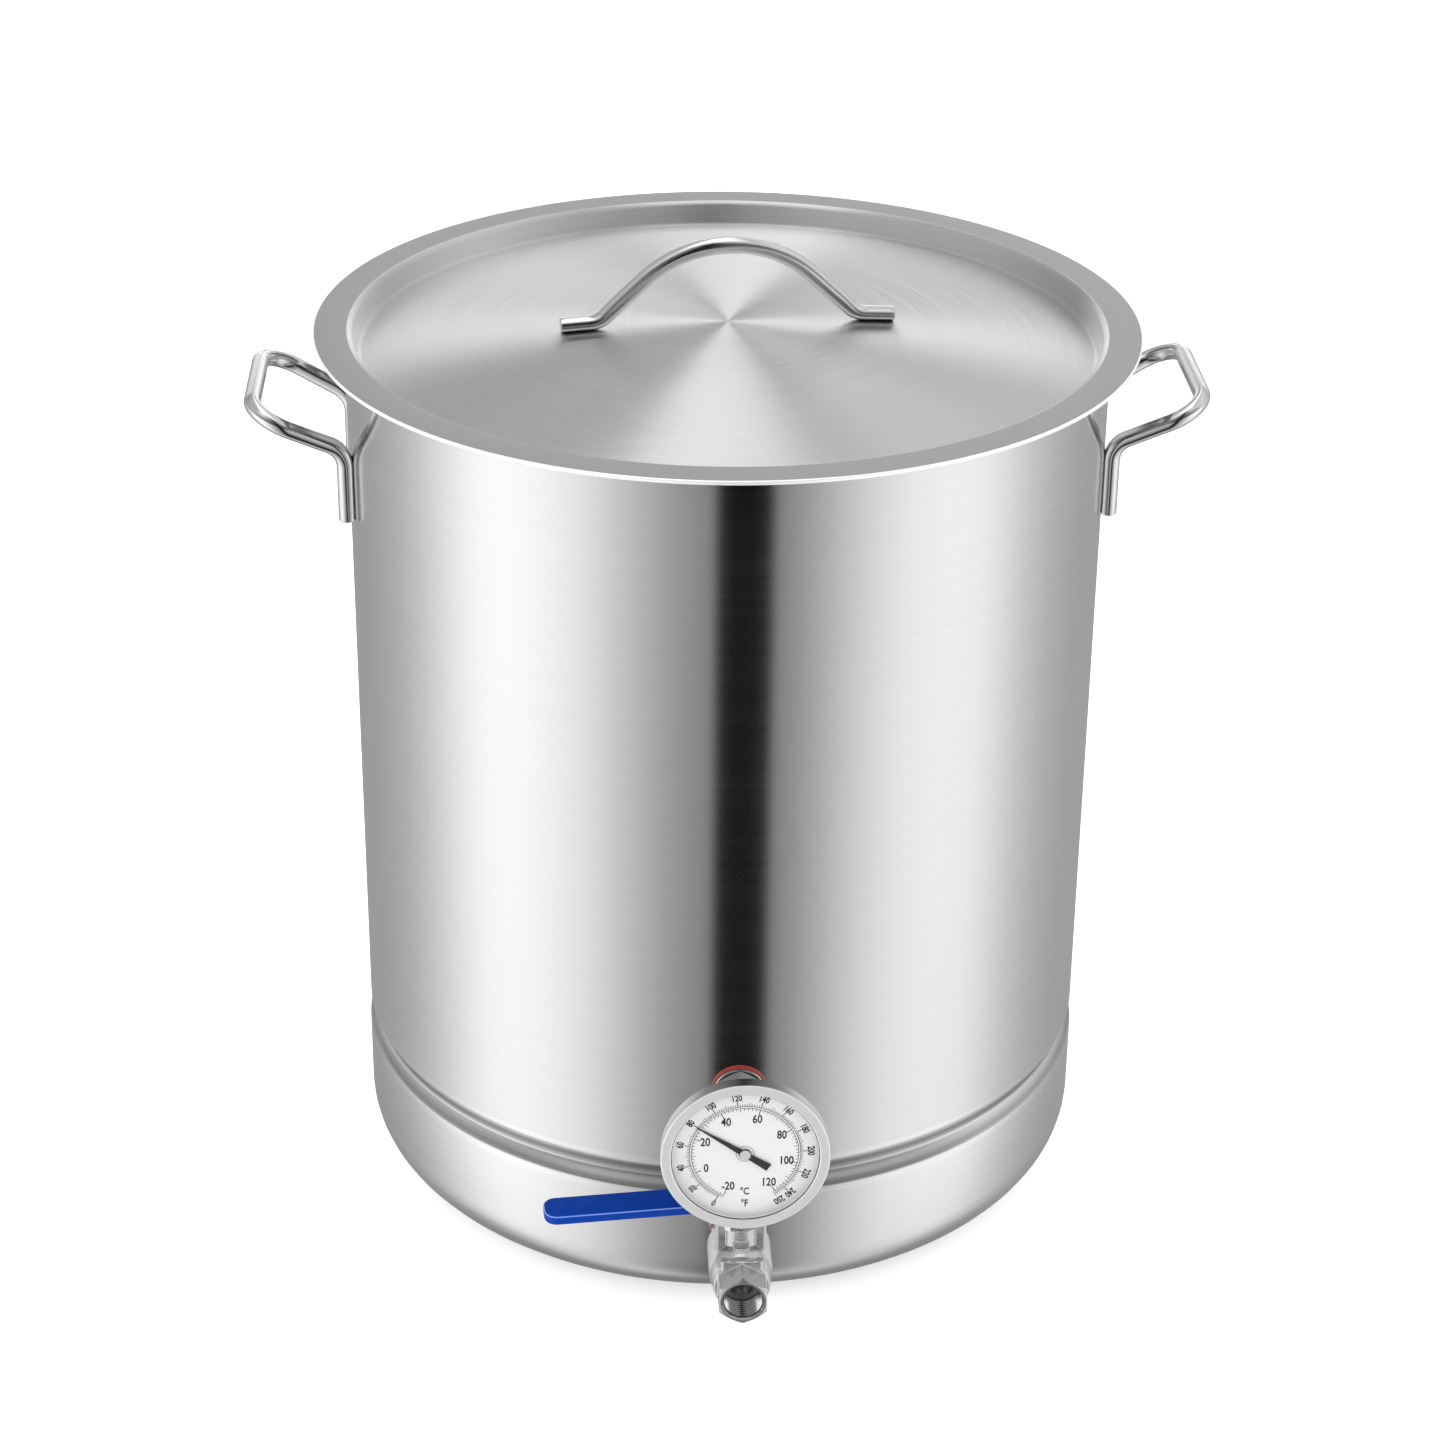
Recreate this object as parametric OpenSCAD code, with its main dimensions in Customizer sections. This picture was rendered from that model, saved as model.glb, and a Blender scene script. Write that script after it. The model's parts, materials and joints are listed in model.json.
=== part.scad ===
// Stainless steel brew kettle: pot, lid, dial thermometer, ball valve and false bottom.
// Millimetres. +Z is up, the origin is the centre of the pot's flat bottom,
// and the thermometer and the valve stand out of the pot's front, towards -Y.

/* [Pot] */
// Outside diameter of the pot above the bead
pot_d = 400; // [396:1:404]
// Height of the rim above the floor
pot_h = 484; // [470:1:500]
// Thickness of the pot's sheet
sheet = 1; // [0.8:0.1:1.2]
// Outside radius of the corner between the bottom and the wall
corner_r = 33; // [30:1:34]
// Height of the middle of the rolled bead that carries the false bottom
bead_z = 82; // [80:1:84]
// Width of the bead, up the wall
bead_w = 19; // [17:1:21]
// Depth of the bead, into the pot
bead_depth = 5; // [4:0.5:6]
// How far the wall below the bead stands proud of the wall above it
skirt_step = 0.7; // [0.5:0.1:1]
// Radius of the curl at the rim
curl_r = 3; // [2.5:0.25:3.5]

/* [Side handles] */
// Diameter of the side handles' rod
grip_rod_d = 9; // [8:0.5:10]
// Distance from the pot's axis to the middle of the grip
grip_x = 247; // [244:1:254]
// Height of the grip
grip_z = 453.4; // [450:0.2:458]
// Distance between the middles of the two legs, at the wall
leg_gap = 78.6; // [74:0.2:84]
// Length of the grip between its corners, before they are rounded
grip_len = 98.8; // [94:0.2:106]
// Height where the legs bend away from the wall
leg_bend_z = 430; // [426:1:434]
// Height of the legs' lower ends
leg_foot_z = 390.6; // [386:0.2:396]

/* [Lid] */
// Outside diameter of the lid's flange
lid_d = 432; // [428:1:436]
// Thickness of the lid's sheet
lid_sheet = 1; // [0.8:0.1:1]
// Depth of the recess at the edge of the panel
recess = 12.7; // [11:0.1:14]
// Rise of the panel from its edge to its middle
crown = 12.4; // [10:0.1:12.5]
// Angle by which the lid is turned on the pot
lid_turn = 5; // [0:1:20]
// Diameter of the lid handle's rod
knob_rod_d = 9; // [7:0.5:10]
// Length of the lid handle over its feet
knob_len = 176; // [168:1:184]
// Rise of the lid handle's middle above its feet
knob_rise = 39.7; // [34:0.1:42]

/* [Thermometer] */
// Height of the thermometer's axis
thermo_z = 139; // [138:1:146]
// Distance from the pot's wall to the front of the bezel
thermo_out = 64.2; // [64:0.2:70]
// Outside diameter of the bezel
bezel_d = 85.6; // [84:0.2:86]
// Length of the probe inside the pot, from the wall
probe_len = 80; // [60:5:100]

/* [Valve] */
// Height of the valve's axis
valve_z = 50.5; // [50:0.5:52]
// Distance from the wall to the stem's axis
stem_out = 28.8; // [28.8:0.1:32]
// Distance from the wall to the outlet's face
outlet_out = 63.6; // [63.6:0.1:68]
// Distance across the flats of the outlet's hexagon
outlet_af = 24.6; // [24.4:0.2:27]
// Radius of the outlet's bore, at the crests of its half-inch thread
outlet_r = 9.3; // [9.2:0.05:9.4]
// Length of the lever from the stem's axis to its tip
lever_len = 102; // [90:1:110]
// Width of the lever's sleeve
lever_w = 18; // [16:0.5:20]
// Angle by which the lever stands open from its closed stop
lever_rest = 6; // [0:1:10]

/* [False bottom] */
// Diameter of the perforated plate
strainer_d = 394; // [392:0.5:395]
// Thickness of the plate
strainer_t = 1.2; // [1:0.1:1.5]
// Diameter of the perforations
strainer_hole_d = 5; // [4:0.5:6]
// Pitch of the perforations' rings, and of the holes round each ring
strainer_pitch = 20; // [18:1:30]

/* [Hidden] */
$fn = 96;

steel = "lightgray";
bright_steel = "silver";
seal_red = "firebrick";
ptfe = "white";
lever_blue = "mediumblue";

gap = 0.05;            // clearance between pieces that meet face to face
cut = 1;               // overshoot of a cutting tool past the face it opens
lap = 0.3;             // how far a straight length of rod runs into each bend
lap_step = 0.01;       // how much thinner the straight lengths are, so that they sink into the bends

pot_r = pot_d / 2;
skirt_r = pot_r + skirt_step;

// ---------------------------------------------------------------- helpers

function unit(v) = v / norm(v);
function arc(cx, cy, r, from, to, steps) =
    [for (i = [0:steps]) let (a = from + (to - from) * i / steps) [cx + r * cos(a), cy + r * sin(a)]];

// Turns children made along +Z so that their +Z points out of the pot's front at height z.
// Inside, z is the distance from the pot's axis.
module at_front(z) {
    translate([0, 0, z]) rotate([90, 0, 0]) children();
}

// A ring between two distances along +Z.
module ring(r_out, r_in, from, to) {
    difference() {
        translate([0, 0, from]) cylinder(r = r_out, h = to - from);
        translate([0, 0, from - cut]) cylinder(r = r_in, h = to - from + 2 * cut);
    }
}

// A hexagonal prism with its corners turned down to a chamfer at both ends.
module hexagon(af, from, to, chamfer = 0.8) {
    corner = af / sqrt(3);
    intersection() {
        translate([0, 0, from]) rotate([0, 0, 30]) cylinder(r = corner, h = to - from, $fn = 6);
        rotate_extrude()
            polygon([
                [0, from], [corner - chamfer * 2, from], [corner, from + chamfer],
                [corner, to - chamfer], [corner - chamfer * 2, to], [0, to]
            ]);
    }
}

// One straight length of rod.
module rod_length(a, b, r) {
    z = unit(b - a);
    x = unit(abs(z.z) < 0.9 ? cross([0, 0, 1], z) : cross([0, 1, 0], z));
    y = cross(z, x);
    multmatrix([
        [x.x, y.x, z.x, a.x], [x.y, y.y, z.y, a.y], [x.z, y.z, z.z, a.z], [0, 0, 0, 1]
    ]) cylinder(r = r, h = norm(b - a), $fn = 48);
}

// One bend of a rod, round the corner p between the points before and after it.
module rod_bend(before, p, after, bend, r) {
    d = unit(p - before);
    e = unit(after - p);
    turn = acos(d * e);
    inward = unit(e - (d * e) * d);
    start = p - d * bend * tan(turn / 2);
    c = start + inward * bend;
    x = -inward;
    z = cross(x, d);
    multmatrix([
        [x.x, d.x, z.x, c.x], [x.y, d.y, z.y, c.y], [x.z, d.z, z.z, c.z], [0, 0, 0, 1]
    ]) rotate_extrude(angle = turn) translate([bend, 0]) circle(r = r, $fn = 48);
}

function bend_length(a, p, b, bend) = bend * tan(acos(unit(p - a) * unit(b - p)) / 2);

// A rod along a list of corners, each rounded to its own bend radius.
module bent_rod(path, bends, r) {
    last = len(path) - 1;
    trim = [for (i = [0:last]) (i == 0 || i == last)
        ? 0 : bend_length(path[i - 1], path[i], path[i + 1], bends[i])];
    for (i = [0:last - 1]) {
        d = unit(path[i + 1] - path[i]);
        from = i == 0 ? 0 : trim[i] - lap;
        to = i == last - 1 ? 0 : trim[i + 1] - lap;
        rod_length(path[i] + d * from, path[i + 1] - d * to, r - lap_step);
    }
    for (i = [1:last - 1]) rod_bend(path[i - 1], path[i], path[i + 1], bends[i], r);
}

// ---------------------------------------------------------------- pot

// Wall line from the middle of the bottom to the curl, set in from the outside by an inset.
bead_steps = 16;
function bead_line(inset) =
    [for (i = [0:bead_steps])
        let (t = i / bead_steps, base = skirt_r + (pot_r - skirt_r) * t)
        [base - inset - bead_depth * (1 - cos(360 * t)) / 2, bead_z + bead_w * (t - 0.5)]];
function pot_line(inset) = concat(
    [[0, inset]],
    arc(skirt_r - corner_r, corner_r, corner_r - inset, 270, 360, 14),
    bead_line(inset)
);
curl_x = pot_r + curl_r - sheet;
curl_z = pot_h - curl_r;
curl_end = -50;        // angle where the curled edge stops

thermo_hole_r = 10.6;
valve_hole_r = 10.7;

module pot() {
    color(steel) difference() {
        rotate_extrude($fn = 180) polygon(concat(
            pot_line(0),
            arc(curl_x, curl_z, curl_r - sheet, 180, curl_end, 14),
            arc(curl_x, curl_z, curl_r, curl_end, 180, 16),
            [for (p = reversed(pot_line(sheet))) p]
        ));
        at_front(thermo_z) translate([0, 0, pot_r - 20]) cylinder(r = thermo_hole_r, h = 40);
        at_front(valve_z) translate([0, 0, pot_r - 20]) cylinder(r = valve_hole_r, h = 40);
    }
}
function reversed(list) = [for (i = [len(list) - 1:-1:0]) list[i]];

// A round bar as wide as the pot, to shape what is welded to or sealed against its wall.
module wall_bar(r) {
    translate([0, 0, -cut]) cylinder(r = r, h = pot_h + 2 * cut, $fn = 180);
}

// ---------------------------------------------------------------- side handles

leg_bend_r = 14;
grip_bend_r = 18;
weld_flat = 0.8;       // how much of the rod is pressed flat where it is welded on

module side_handle(side) {
    r = grip_rod_d / 2;
    a = leg_gap / 2;
    b = grip_len / 2;
    leg_x = sqrt(pow(pot_r + r - weld_flat, 2) - a * a);
    path = [
        [side * leg_x, -a, leg_foot_z], [side * leg_x, -a, leg_bend_z], [side * grip_x, -b, grip_z],
        [side * grip_x, b, grip_z], [side * leg_x, a, leg_bend_z], [side * leg_x, a, leg_foot_z]
    ];
    bends = [0, leg_bend_r, grip_bend_r, grip_bend_r, leg_bend_r, 0];
    color(bright_steel) difference() {
        bent_rod(path, bends, r);
        wall_bar(pot_r + gap);
    }
}
module handle_left() { side_handle(-1); }
module handle_right() { side_handle(1); }

// ---------------------------------------------------------------- lid

lid_gap = 0.3;         // the flange hovers this far over the curl
flange_top = pot_h + lid_gap + lid_sheet;
panel_z = flange_top - recess;
panel_r = 191.5;       // where the crowned panel ends and the fillet starts
foot_fillet = 2.5;
lip_fillet = 3.5;
wall_top_r = pot_r - 4;
wall_foot_r = panel_r + foot_fillet;
hem_r = 1.3;
crown_steps = 12;

function crown_z(r) = panel_z + crown * (1 - pow(r / panel_r, 2));
// Upper face of the lid from its middle out to the hem, lowered by a drop.
function lid_line(drop) = concat(
    [for (i = [0:crown_steps]) let (r = panel_r * i / crown_steps) [r, crown_z(r) - drop]],
    arc(panel_r, panel_z + foot_fillet, foot_fillet + drop, 285, 345, 5),
    arc(wall_top_r + lip_fillet, flange_top - lip_fillet, lip_fillet - drop, 170, 90, 6)
);
module lid() {
    hem_x = lid_d / 2 - hem_r;
    hem_end = 180 - asin((hem_r - lid_sheet) / hem_r);
    color(steel) rotate_extrude($fn = 180) polygon(concat(
        lid_line(0),
        arc(hem_x, flange_top - hem_r, hem_r, 90, hem_end - 360, 16),
        reversed(lid_line(lid_sheet))
    ));
}

// Bell-shaped rod with a flat foot at each end, welded to the crown of the panel.
module lid_handle() {
    r = knob_rod_d / 2;
    foot = knob_len / 2;
    knee = foot - 20;
    shoulder = 26;
    lift = r - weld_flat;
    inner = knee - 15;
    outer = foot + 5;
    function slope_z(s) = crown_z(knee) + (crown_z(foot) - crown_z(knee)) * (s - knee) / (foot - knee) + gap;
    top_z = crown_z(foot - 10) + lift + knob_rise;
    path = [
        [-foot, 0, crown_z(foot) + lift], [-knee, 0, crown_z(knee) + lift], [-shoulder, 0, top_z],
        [shoulder, 0, top_z], [knee, 0, crown_z(knee) + lift], [foot, 0, crown_z(foot) + lift]
    ];
    color(bright_steel) rotate([0, 0, lid_turn]) difference() {
        bent_rod(path, [0, 14, 60, 60, 14, 0], r);
        // The crown under each foot, as a flat slope.
        rotate([90, 0, 0]) linear_extrude(4 * r, center = true) for (side = [-1, 1]) polygon([
            [side * inner, slope_z(inner)], [side * outer, slope_z(outer)],
            [side * outer, panel_z], [side * inner, panel_z]
        ]);
    }
}

// ---------------------------------------------------------------- false bottom

strainer_z = bead_z + 5.7;
strainer_rings = floor((strainer_d / 2 - 14) / strainer_pitch);
module false_bottom() {
    color(steel) translate([0, 0, strainer_z]) linear_extrude(strainer_t) difference() {
        circle(r = strainer_d / 2, $fn = 180);
        circle(d = strainer_hole_d, $fn = 24);
        for (k = [1:strainer_rings]) {
            holes = 6 * k;
            for (i = [0:holes - 1])
                rotate(360 * i / holes) translate([strainer_pitch * k, 0]) circle(d = strainer_hole_d, $fn = 24);
        }
    }
}

// ---------------------------------------------------------------- wall fittings

seal_t = 3;
inner_seal_t = 2.5;
washer_t = 1.5;
port_r = 10.3;         // radius of a half-inch male thread
seal_r = 14.5;

// Silicone ring between the wall and a washer, moulded to the round wall.
module outer_seal(wall_r) {
    difference() {
        ring(seal_r, port_r + 0.3, wall_r - 2, wall_r + seal_t);
        rotate([-90, 0, 0]) translate([0, 0, -seal_r * 2])
            cylinder(r = wall_r + gap, h = seal_r * 4, $fn = 180);
    }
}
module inner_seal(wall_r) {
    intersection() {
        ring(seal_r, port_r + 0.3, wall_r - sheet - inner_seal_t, wall_r);
        rotate([-90, 0, 0]) translate([0, 0, -seal_r * 2])
            cylinder(r = wall_r - sheet - gap, h = seal_r * 4, $fn = 180);
    }
}
module steel_washer(from) { ring(13.6, port_r + 0.25, from, from + washer_t); }
lock_nut_t = 6;
module lock_nut(back) {
    difference() {
        hexagon(27, back - lock_nut_t, back, 1);
        translate([0, 0, back - lock_nut_t - cut]) cylinder(r = port_r + gap, h = lock_nut_t + 2 * cut);
    }
}

// ---------------------------------------------------------------- thermometer

t_inner = pot_r - sheet - inner_seal_t;       // inner seal's inner face
t_nut = t_inner - washer_t;                   // lock nut's outer face
t_hex = pot_r + seal_t + washer_t;            // connector hexagon's inner face
t_hex_end = t_hex + 9;
t_front = pot_r + thermo_out;                 // front of the bezel
t_case = t_front - 15.5;                      // back of the case
t_lens = t_front - 2.9;                       // back of the lens
t_dial = t_front - 5.6;                       // back of the dial plate
case_r = 39.5;
case_wall = 1;
lens_t = 1.5;
gasket_t = 0.45;
dial_t = 0.6;
stem_r = 3.2;
stem_bore = 2.6;
shaft_r = 0.8;
sight_r = 37.4;        // radius of the dial that shows inside the bezel

module thermo_seal_outer() { color(seal_red) at_front(thermo_z) outer_seal(pot_r); }
module thermo_washer_outer() { color(bright_steel) at_front(thermo_z) steel_washer(pot_r + seal_t); }
module thermo_seal_inner() { color(seal_red) at_front(thermo_z) inner_seal(pot_r); }
module thermo_washer_inner() { color(bright_steel) at_front(thermo_z) steel_washer(t_nut); }
module thermo_lock_nut() { color(bright_steel) at_front(thermo_z) lock_nut(t_nut); }

// Hexagon with a threaded stub through the wall, and a neck with a smaller hexagon that carries the case.
module thermo_connector() {
    stub_end = t_nut - lock_nut_t - 4;
    color(bright_steel) at_front(thermo_z) difference() {
        union() {
            translate([0, 0, stub_end]) cylinder(r = port_r, h = t_hex + cut - stub_end);
            hexagon(24, t_hex, t_hex_end);
            translate([0, 0, t_hex_end - cut]) cylinder(r = 8, h = t_case - gap - t_hex_end + cut);
            hexagon(20, t_case - 13, t_case - 5);
        }
        translate([0, 0, stub_end - cut]) cylinder(r = stem_r + gap, h = 90);
    }
}
// Closed tube that dips into the pot.
module thermo_stem_tube() {
    tip = pot_r - probe_len;
    color(steel) at_front(thermo_z) difference() {
        union() {
            translate([0, 0, tip + stem_r]) cylinder(r = stem_r, h = t_case - tip - stem_r);
            translate([0, 0, tip + stem_r]) sphere(r = stem_r, $fn = 48);
        }
        translate([0, 0, tip + 4]) cylinder(r = stem_bore, h = t_case);
    }
}
function case_line(inset) = concat(
    [[stem_r + gap, t_case + inset]],
    arc(case_r - 5, t_case + 5, 5 - inset, 270, 360, 6)
);
// Pressed can, open at the front.
module thermo_case() {
    color(steel) at_front(thermo_z) rotate_extrude() polygon(concat(
        case_line(0),
        [[case_r, t_lens - gap], [case_r - case_wall, t_lens - gap]],
        reversed(case_line(case_wall))
    ));
}
// Sleeve bearing in the mouth of the stem that carries the pointer's shaft.
module thermo_shaft_bush() {
    color("goldenrod") at_front(thermo_z)
        ring(stem_bore - gap, shaft_r + gap, t_case - 5, t_case + case_wall);
}

coil_turns = 14;
coil_r = 2.2;
coil_half = 0.3;       // half the thickness of the coil's strip
coil_len = 36;
coil_steps = 10;       // points round one turn
// Coiled strip of two bonded metals that turns the shaft as it warms.
module thermo_bimetal_coil() {
    n = coil_turns * coil_steps;
    rise = coil_len / n;
    corners = [[-1, -1.6], [1, -1.6], [1, 1.6], [-1, 1.6]] * coil_half;
    points = [for (i = [0:n]) for (k = corners) let (a = 360 * i / coil_steps)
        [(coil_r + k.x) * cos(a), (coil_r + k.x) * sin(a), i * rise + k.y]];
    sides = [for (i = [0:n - 1]) for (k = [0:3]) for (f = [
        [4 * i + k, 4 * (i + 1) + k, 4 * (i + 1) + (k + 1) % 4],
        [4 * i + k, 4 * (i + 1) + (k + 1) % 4, 4 * i + (k + 1) % 4]]) f];
    color("goldenrod") at_front(thermo_z) translate([0, 0, pot_r - probe_len + 7])
        polyhedron(points, concat(sides, [
            [0, 1, 2], [0, 2, 3], [4 * n + 3, 4 * n + 2, 4 * n + 1], [4 * n + 3, 4 * n + 1, 4 * n]
        ]));
}

module thermo_dial() {
    color("white") at_front(thermo_z)
        ring(case_r - case_wall - 0.1, 1.6, t_dial, t_dial + dial_t);
}
module thermo_dial_spacer() {
    color("white") at_front(thermo_z)
        ring(case_r - case_wall - 0.1, case_r - case_wall - 0.8, t_dial + dial_t + gap, t_lens - gap);
}
module thermo_lens() {
    color("lightcyan", 0.4) at_front(thermo_z) translate([0, 0, t_lens]) cylinder(r = case_r, h = lens_t);
}
module thermo_lens_gasket() {
    color("black") at_front(thermo_z)
        ring(case_r, sight_r + 0.4, t_lens + lens_t + gap, t_lens + lens_t + gasket_t);
}
// Rolled ring that clamps the lens to the case.
module thermo_bezel() {
    b = bezel_d / 2;
    lip = t_lens + lens_t + gasket_t + gap;
    color(bright_steel) at_front(thermo_z) rotate_extrude() polygon(concat(
        [[case_r + 0.1, t_front - 8], [b - 0.6, t_front - 8], [b, t_front - 7.4]],
        arc(b - 1.2, t_front - 1.2, 1.2, 0, 90, 4),
        [[sight_r + 1, t_front - 0.3], [sight_r, t_front - 0.6], [sight_r, lip], [case_r + 0.1, lip]]
    ));
}

// ---------------------------------------------------------------- pointer

pointer_front = -56;   // angle of the pointer from twelve o'clock, clockwise, at rest
pointer_len = 29.4;
pointer_u = t_dial + dial_t + 0.6;

module on_pointer() { at_front(thermo_z) translate([0, 0, pointer_u]) rotate([0, 0, -pointer_front]) children(); }
module pointer() {
    color("black") on_pointer() linear_extrude(0.4) difference() {
        union() {
            polygon([
                [-0.2, pointer_len], [-1.6, 2], [-1.5, -2], [-2.2, -14.4],
                [2.2, -14.4], [1.5, -2], [1.6, 2], [0.2, pointer_len]
            ]);
            circle(r = 3.1);
        }
        circle(r = shaft_r + gap, $fn = 32);
    }
}
module pointer_hub() {
    color(bright_steel) on_pointer() ring(2.7, shaft_r + gap, 0.4 + gap, 1.2);
}
module pointer_shaft() {
    tail = pot_r - probe_len + 7 + coil_len;
    color(steel) at_front(thermo_z) {
        translate([0, 0, tail]) cylinder(r = shaft_r, h = pointer_u + 1.25 - tail);
        translate([0, 0, tail - 1]) cylinder(r = 1.7, h = 2);
    }
}

// ---------------------------------------------------------------- valve

v_seal = skirt_r + seal_t;                    // outer seal's front face
v_flange = v_seal + washer_t;                 // nipple flange's inner face
v_cap = v_flange + 2.5;                       // end cap's inner face
v_stem = pot_r + stem_out;                    // stem's axis
v_outlet = pot_r + outlet_out;                // outlet's face
v_inner = skirt_r - sheet - inner_seal_t;
v_nut = v_inner - washer_t;
ball_r = 12;
flow_r = 6.5;
seat_in_r = 7.2;
cavity_r = 12.45;
housing_r = 16.6;
seat_near = ball_r - 1;                       // distance from the stem's axis to each seat's back
seat_t = 4;
body_back = v_stem - 17;                      // rear face of the body
thread_len = 15;
hex_len = 14.4;
boss_r = 9.5;
boss_top = 25.5;                              // boss's top above the valve's axis
collar_top = 14.9;

module valve_seal_outer() { color(seal_red) at_front(valve_z) outer_seal(skirt_r); }
module valve_washer_outer() { color(bright_steel) at_front(valve_z) steel_washer(v_seal); }
module valve_seal_inner() { color(seal_red) at_front(valve_z) inner_seal(skirt_r); }
module valve_washer_inner() { color(bright_steel) at_front(valve_z) steel_washer(v_nut); }
module valve_lock_nut() { color(bright_steel) at_front(valve_z) lock_nut(v_nut); }

// Threaded tube through the wall with a hexagonal flange outside.
module valve_nipple() {
    inside_end = v_nut - lock_nut_t - 4;
    outside_end = v_stem - seat_near - 3.5;
    color(bright_steel) at_front(valve_z) difference() {
        union() {
            translate([0, 0, inside_end]) cylinder(r = port_r, h = outside_end - inside_end);
            hexagon(26, v_flange, v_cap - gap, 0.5);
        }
        translate([0, 0, inside_end - cut]) cylinder(r = flow_r, h = outside_end - inside_end + 2 * cut);
    }
}
// Hexagonal plug that screws into the body and holds the ball and seats in.
module valve_end_cap() {
    end = v_stem - seat_near;
    color(bright_steel) at_front(valve_z) difference() {
        union() {
            hexagon(28, v_cap, body_back - 0.9, 0.8);
            translate([0, 0, v_cap + 1]) cylinder(r = cavity_r - gap, h = end - v_cap - 1);
        }
        translate([0, 0, v_cap - cut]) cylinder(r = port_r + gap, h = end - 3 - v_cap + cut);
        translate([0, 0, v_cap - cut]) cylinder(r = flow_r, h = end - v_cap + 2 * cut);
    }
}
module valve_cap_gasket() {
    color(ptfe) at_front(valve_z) ring(housing_r - 1.6, cavity_r + gap, body_back - 0.9 + gap, body_back - gap);
}

// Upright stop beside the boss, which the lever's tab meets at each end of its travel.
stop_angle = 70;
module stop_post(side) {
    translate([0, -v_stem, valve_z]) rotate([0, 0, -90 + side * stop_angle])
        translate([9, -2, 9]) cube([4.4, 4, boss_top + 3 - 9]);
}
module valve_body() {
    color(bright_steel) difference() {
        union() {
            at_front(valve_z) rotate_extrude() polygon(concat(
                [[0, body_back], [housing_r - 1.2, body_back], [housing_r, body_back + 1.2]],
                arc(housing_r - 14, v_stem + 8, 14, 0, 50, 6),
                [[outlet_af / 2 - 0.6, v_outlet - hex_len], [outlet_af / 2 - 0.6, v_outlet - 3], [0, v_outlet - 3]]
            ));
            at_front(valve_z) hexagon(outlet_af, v_outlet - hex_len, v_outlet, 0.9);
            translate([0, -v_stem, valve_z + 8]) cylinder(r = boss_r, h = boss_top - 8);
            stop_post(-1);
            stop_post(1);
            // Raised cast pad across the neck, with a boss at each end.
            translate([-9, -v_outlet + hex_len - 0.4, valve_z + 9]) cube([18, 4.6, 5.4]);
            for (side = [-1, 1])
                translate([side * 9, -v_outlet + hex_len + 1.9, valve_z + 7]) cylinder(r = 2.3, h = 7.9);
        }
        at_front(valve_z) {
            translate([0, 0, body_back - cut]) cylinder(r = cavity_r, h = v_stem + seat_near - body_back + cut);
            translate([0, 0, v_stem]) cylinder(r = flow_r, h = v_outlet - v_stem);
            translate([0, 0, v_outlet - thread_len]) cylinder(r = outlet_r, h = thread_len + cut);
            translate([0, 0, v_outlet - 1.2]) cylinder(r1 = outlet_r, r2 = outlet_r + 1.2, h = 1.2 + gap);
        }
        translate([0, -v_stem, valve_z]) {
            cylinder(r = 6.4, h = collar_top + 1.1);
            cylinder(r = 3.95, h = boss_top + cut);
            translate([0, 0, boss_top - 6]) cylinder(r = 6.5, h = 6 + cut);
        }
    }
}

// PTFE ring dished to the ball. Side is -1 at the inlet and 1 at the outlet.
module seat(side) {
    color(ptfe) at_front(valve_z) difference() {
        ring(cavity_r - gap, seat_in_r,
            v_stem + (side < 0 ? -seat_near + gap : seat_near - seat_t),
            v_stem + (side < 0 ? -seat_near + seat_t : seat_near - gap));
        translate([0, 0, v_stem]) sphere(r = ball_r + gap);
    }
}
module valve_seat_inlet() { seat(-1); }
module valve_seat_outlet() { seat(1); }

module above_valve() { translate([0, -v_stem, valve_z]) children(); }
module valve_thrust_washer() { color(ptfe) above_valve() ring(6.2, 3.95 + gap, collar_top + gap, collar_top + 1); }
module valve_stem_packing() { color(ptfe) above_valve() ring(6.4, 3.95, boss_top - 6 + gap, boss_top - 3); }
module valve_gland_nut() {
    color(bright_steel) above_valve() difference() {
        union() {
            translate([0, 0, boss_top - 3 + gap]) cylinder(r = 6.5 - gap, h = 3);
            hexagon(14, boss_top + gap, boss_top + 3.5, 0.5);
        }
        translate([0, 0, boss_top - 4]) cylinder(r = 3.95, h = 9);
    }
}

// ---------------------------------------------------------------- lever and what turns with it

stem_shaft_r = 3.9;
tang_t = 4;
plate_t = 2.2;
plate_z = boss_top + 4;                       // lever plate's underside above the valve's axis
arm_z = 40;                                   // arm's underside above the valve's axis
nut_t = 5;
sleeve_t = 5;
sleeve_start = 26.5;
arm_w = 14;

// Puts children drawn with the lever along +X at the lever's rest angle, on the stem's axis.
module on_lever() {
    above_valve() rotate([0, 0, 180 + lever_rest]) children();
}
module valve_ball() {
    color(bright_steel) on_lever() difference() {
        sphere(r = ball_r);
        rotate([0, 90, 0]) translate([0, 0, -ball_r - cut]) cylinder(r = flow_r, h = 2 * (ball_r + cut));
        translate([-tang_t / 2 - gap, -ball_r, ball_r - 3]) cube([tang_t + 2 * gap, 2 * ball_r, 4]);
    }
}
// Turned stem with a tang in the ball's slot, a collar under the body, and a threaded top.
module valve_stem() {
    top = plate_z + plate_t + 1 + nut_t + 1.2;
    color(bright_steel) on_lever() {
        translate([-tang_t / 2, -4.5, ball_r - 2.9]) cube([tang_t, 9, 3.6]);
        translate([0, 0, ball_r + 0.4]) cylinder(r = 5.6, h = collar_top - ball_r - 0.4);
        translate([0, 0, collar_top - cut]) cylinder(r = stem_shaft_r, h = top - collar_top + cut);
    }
}
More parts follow.
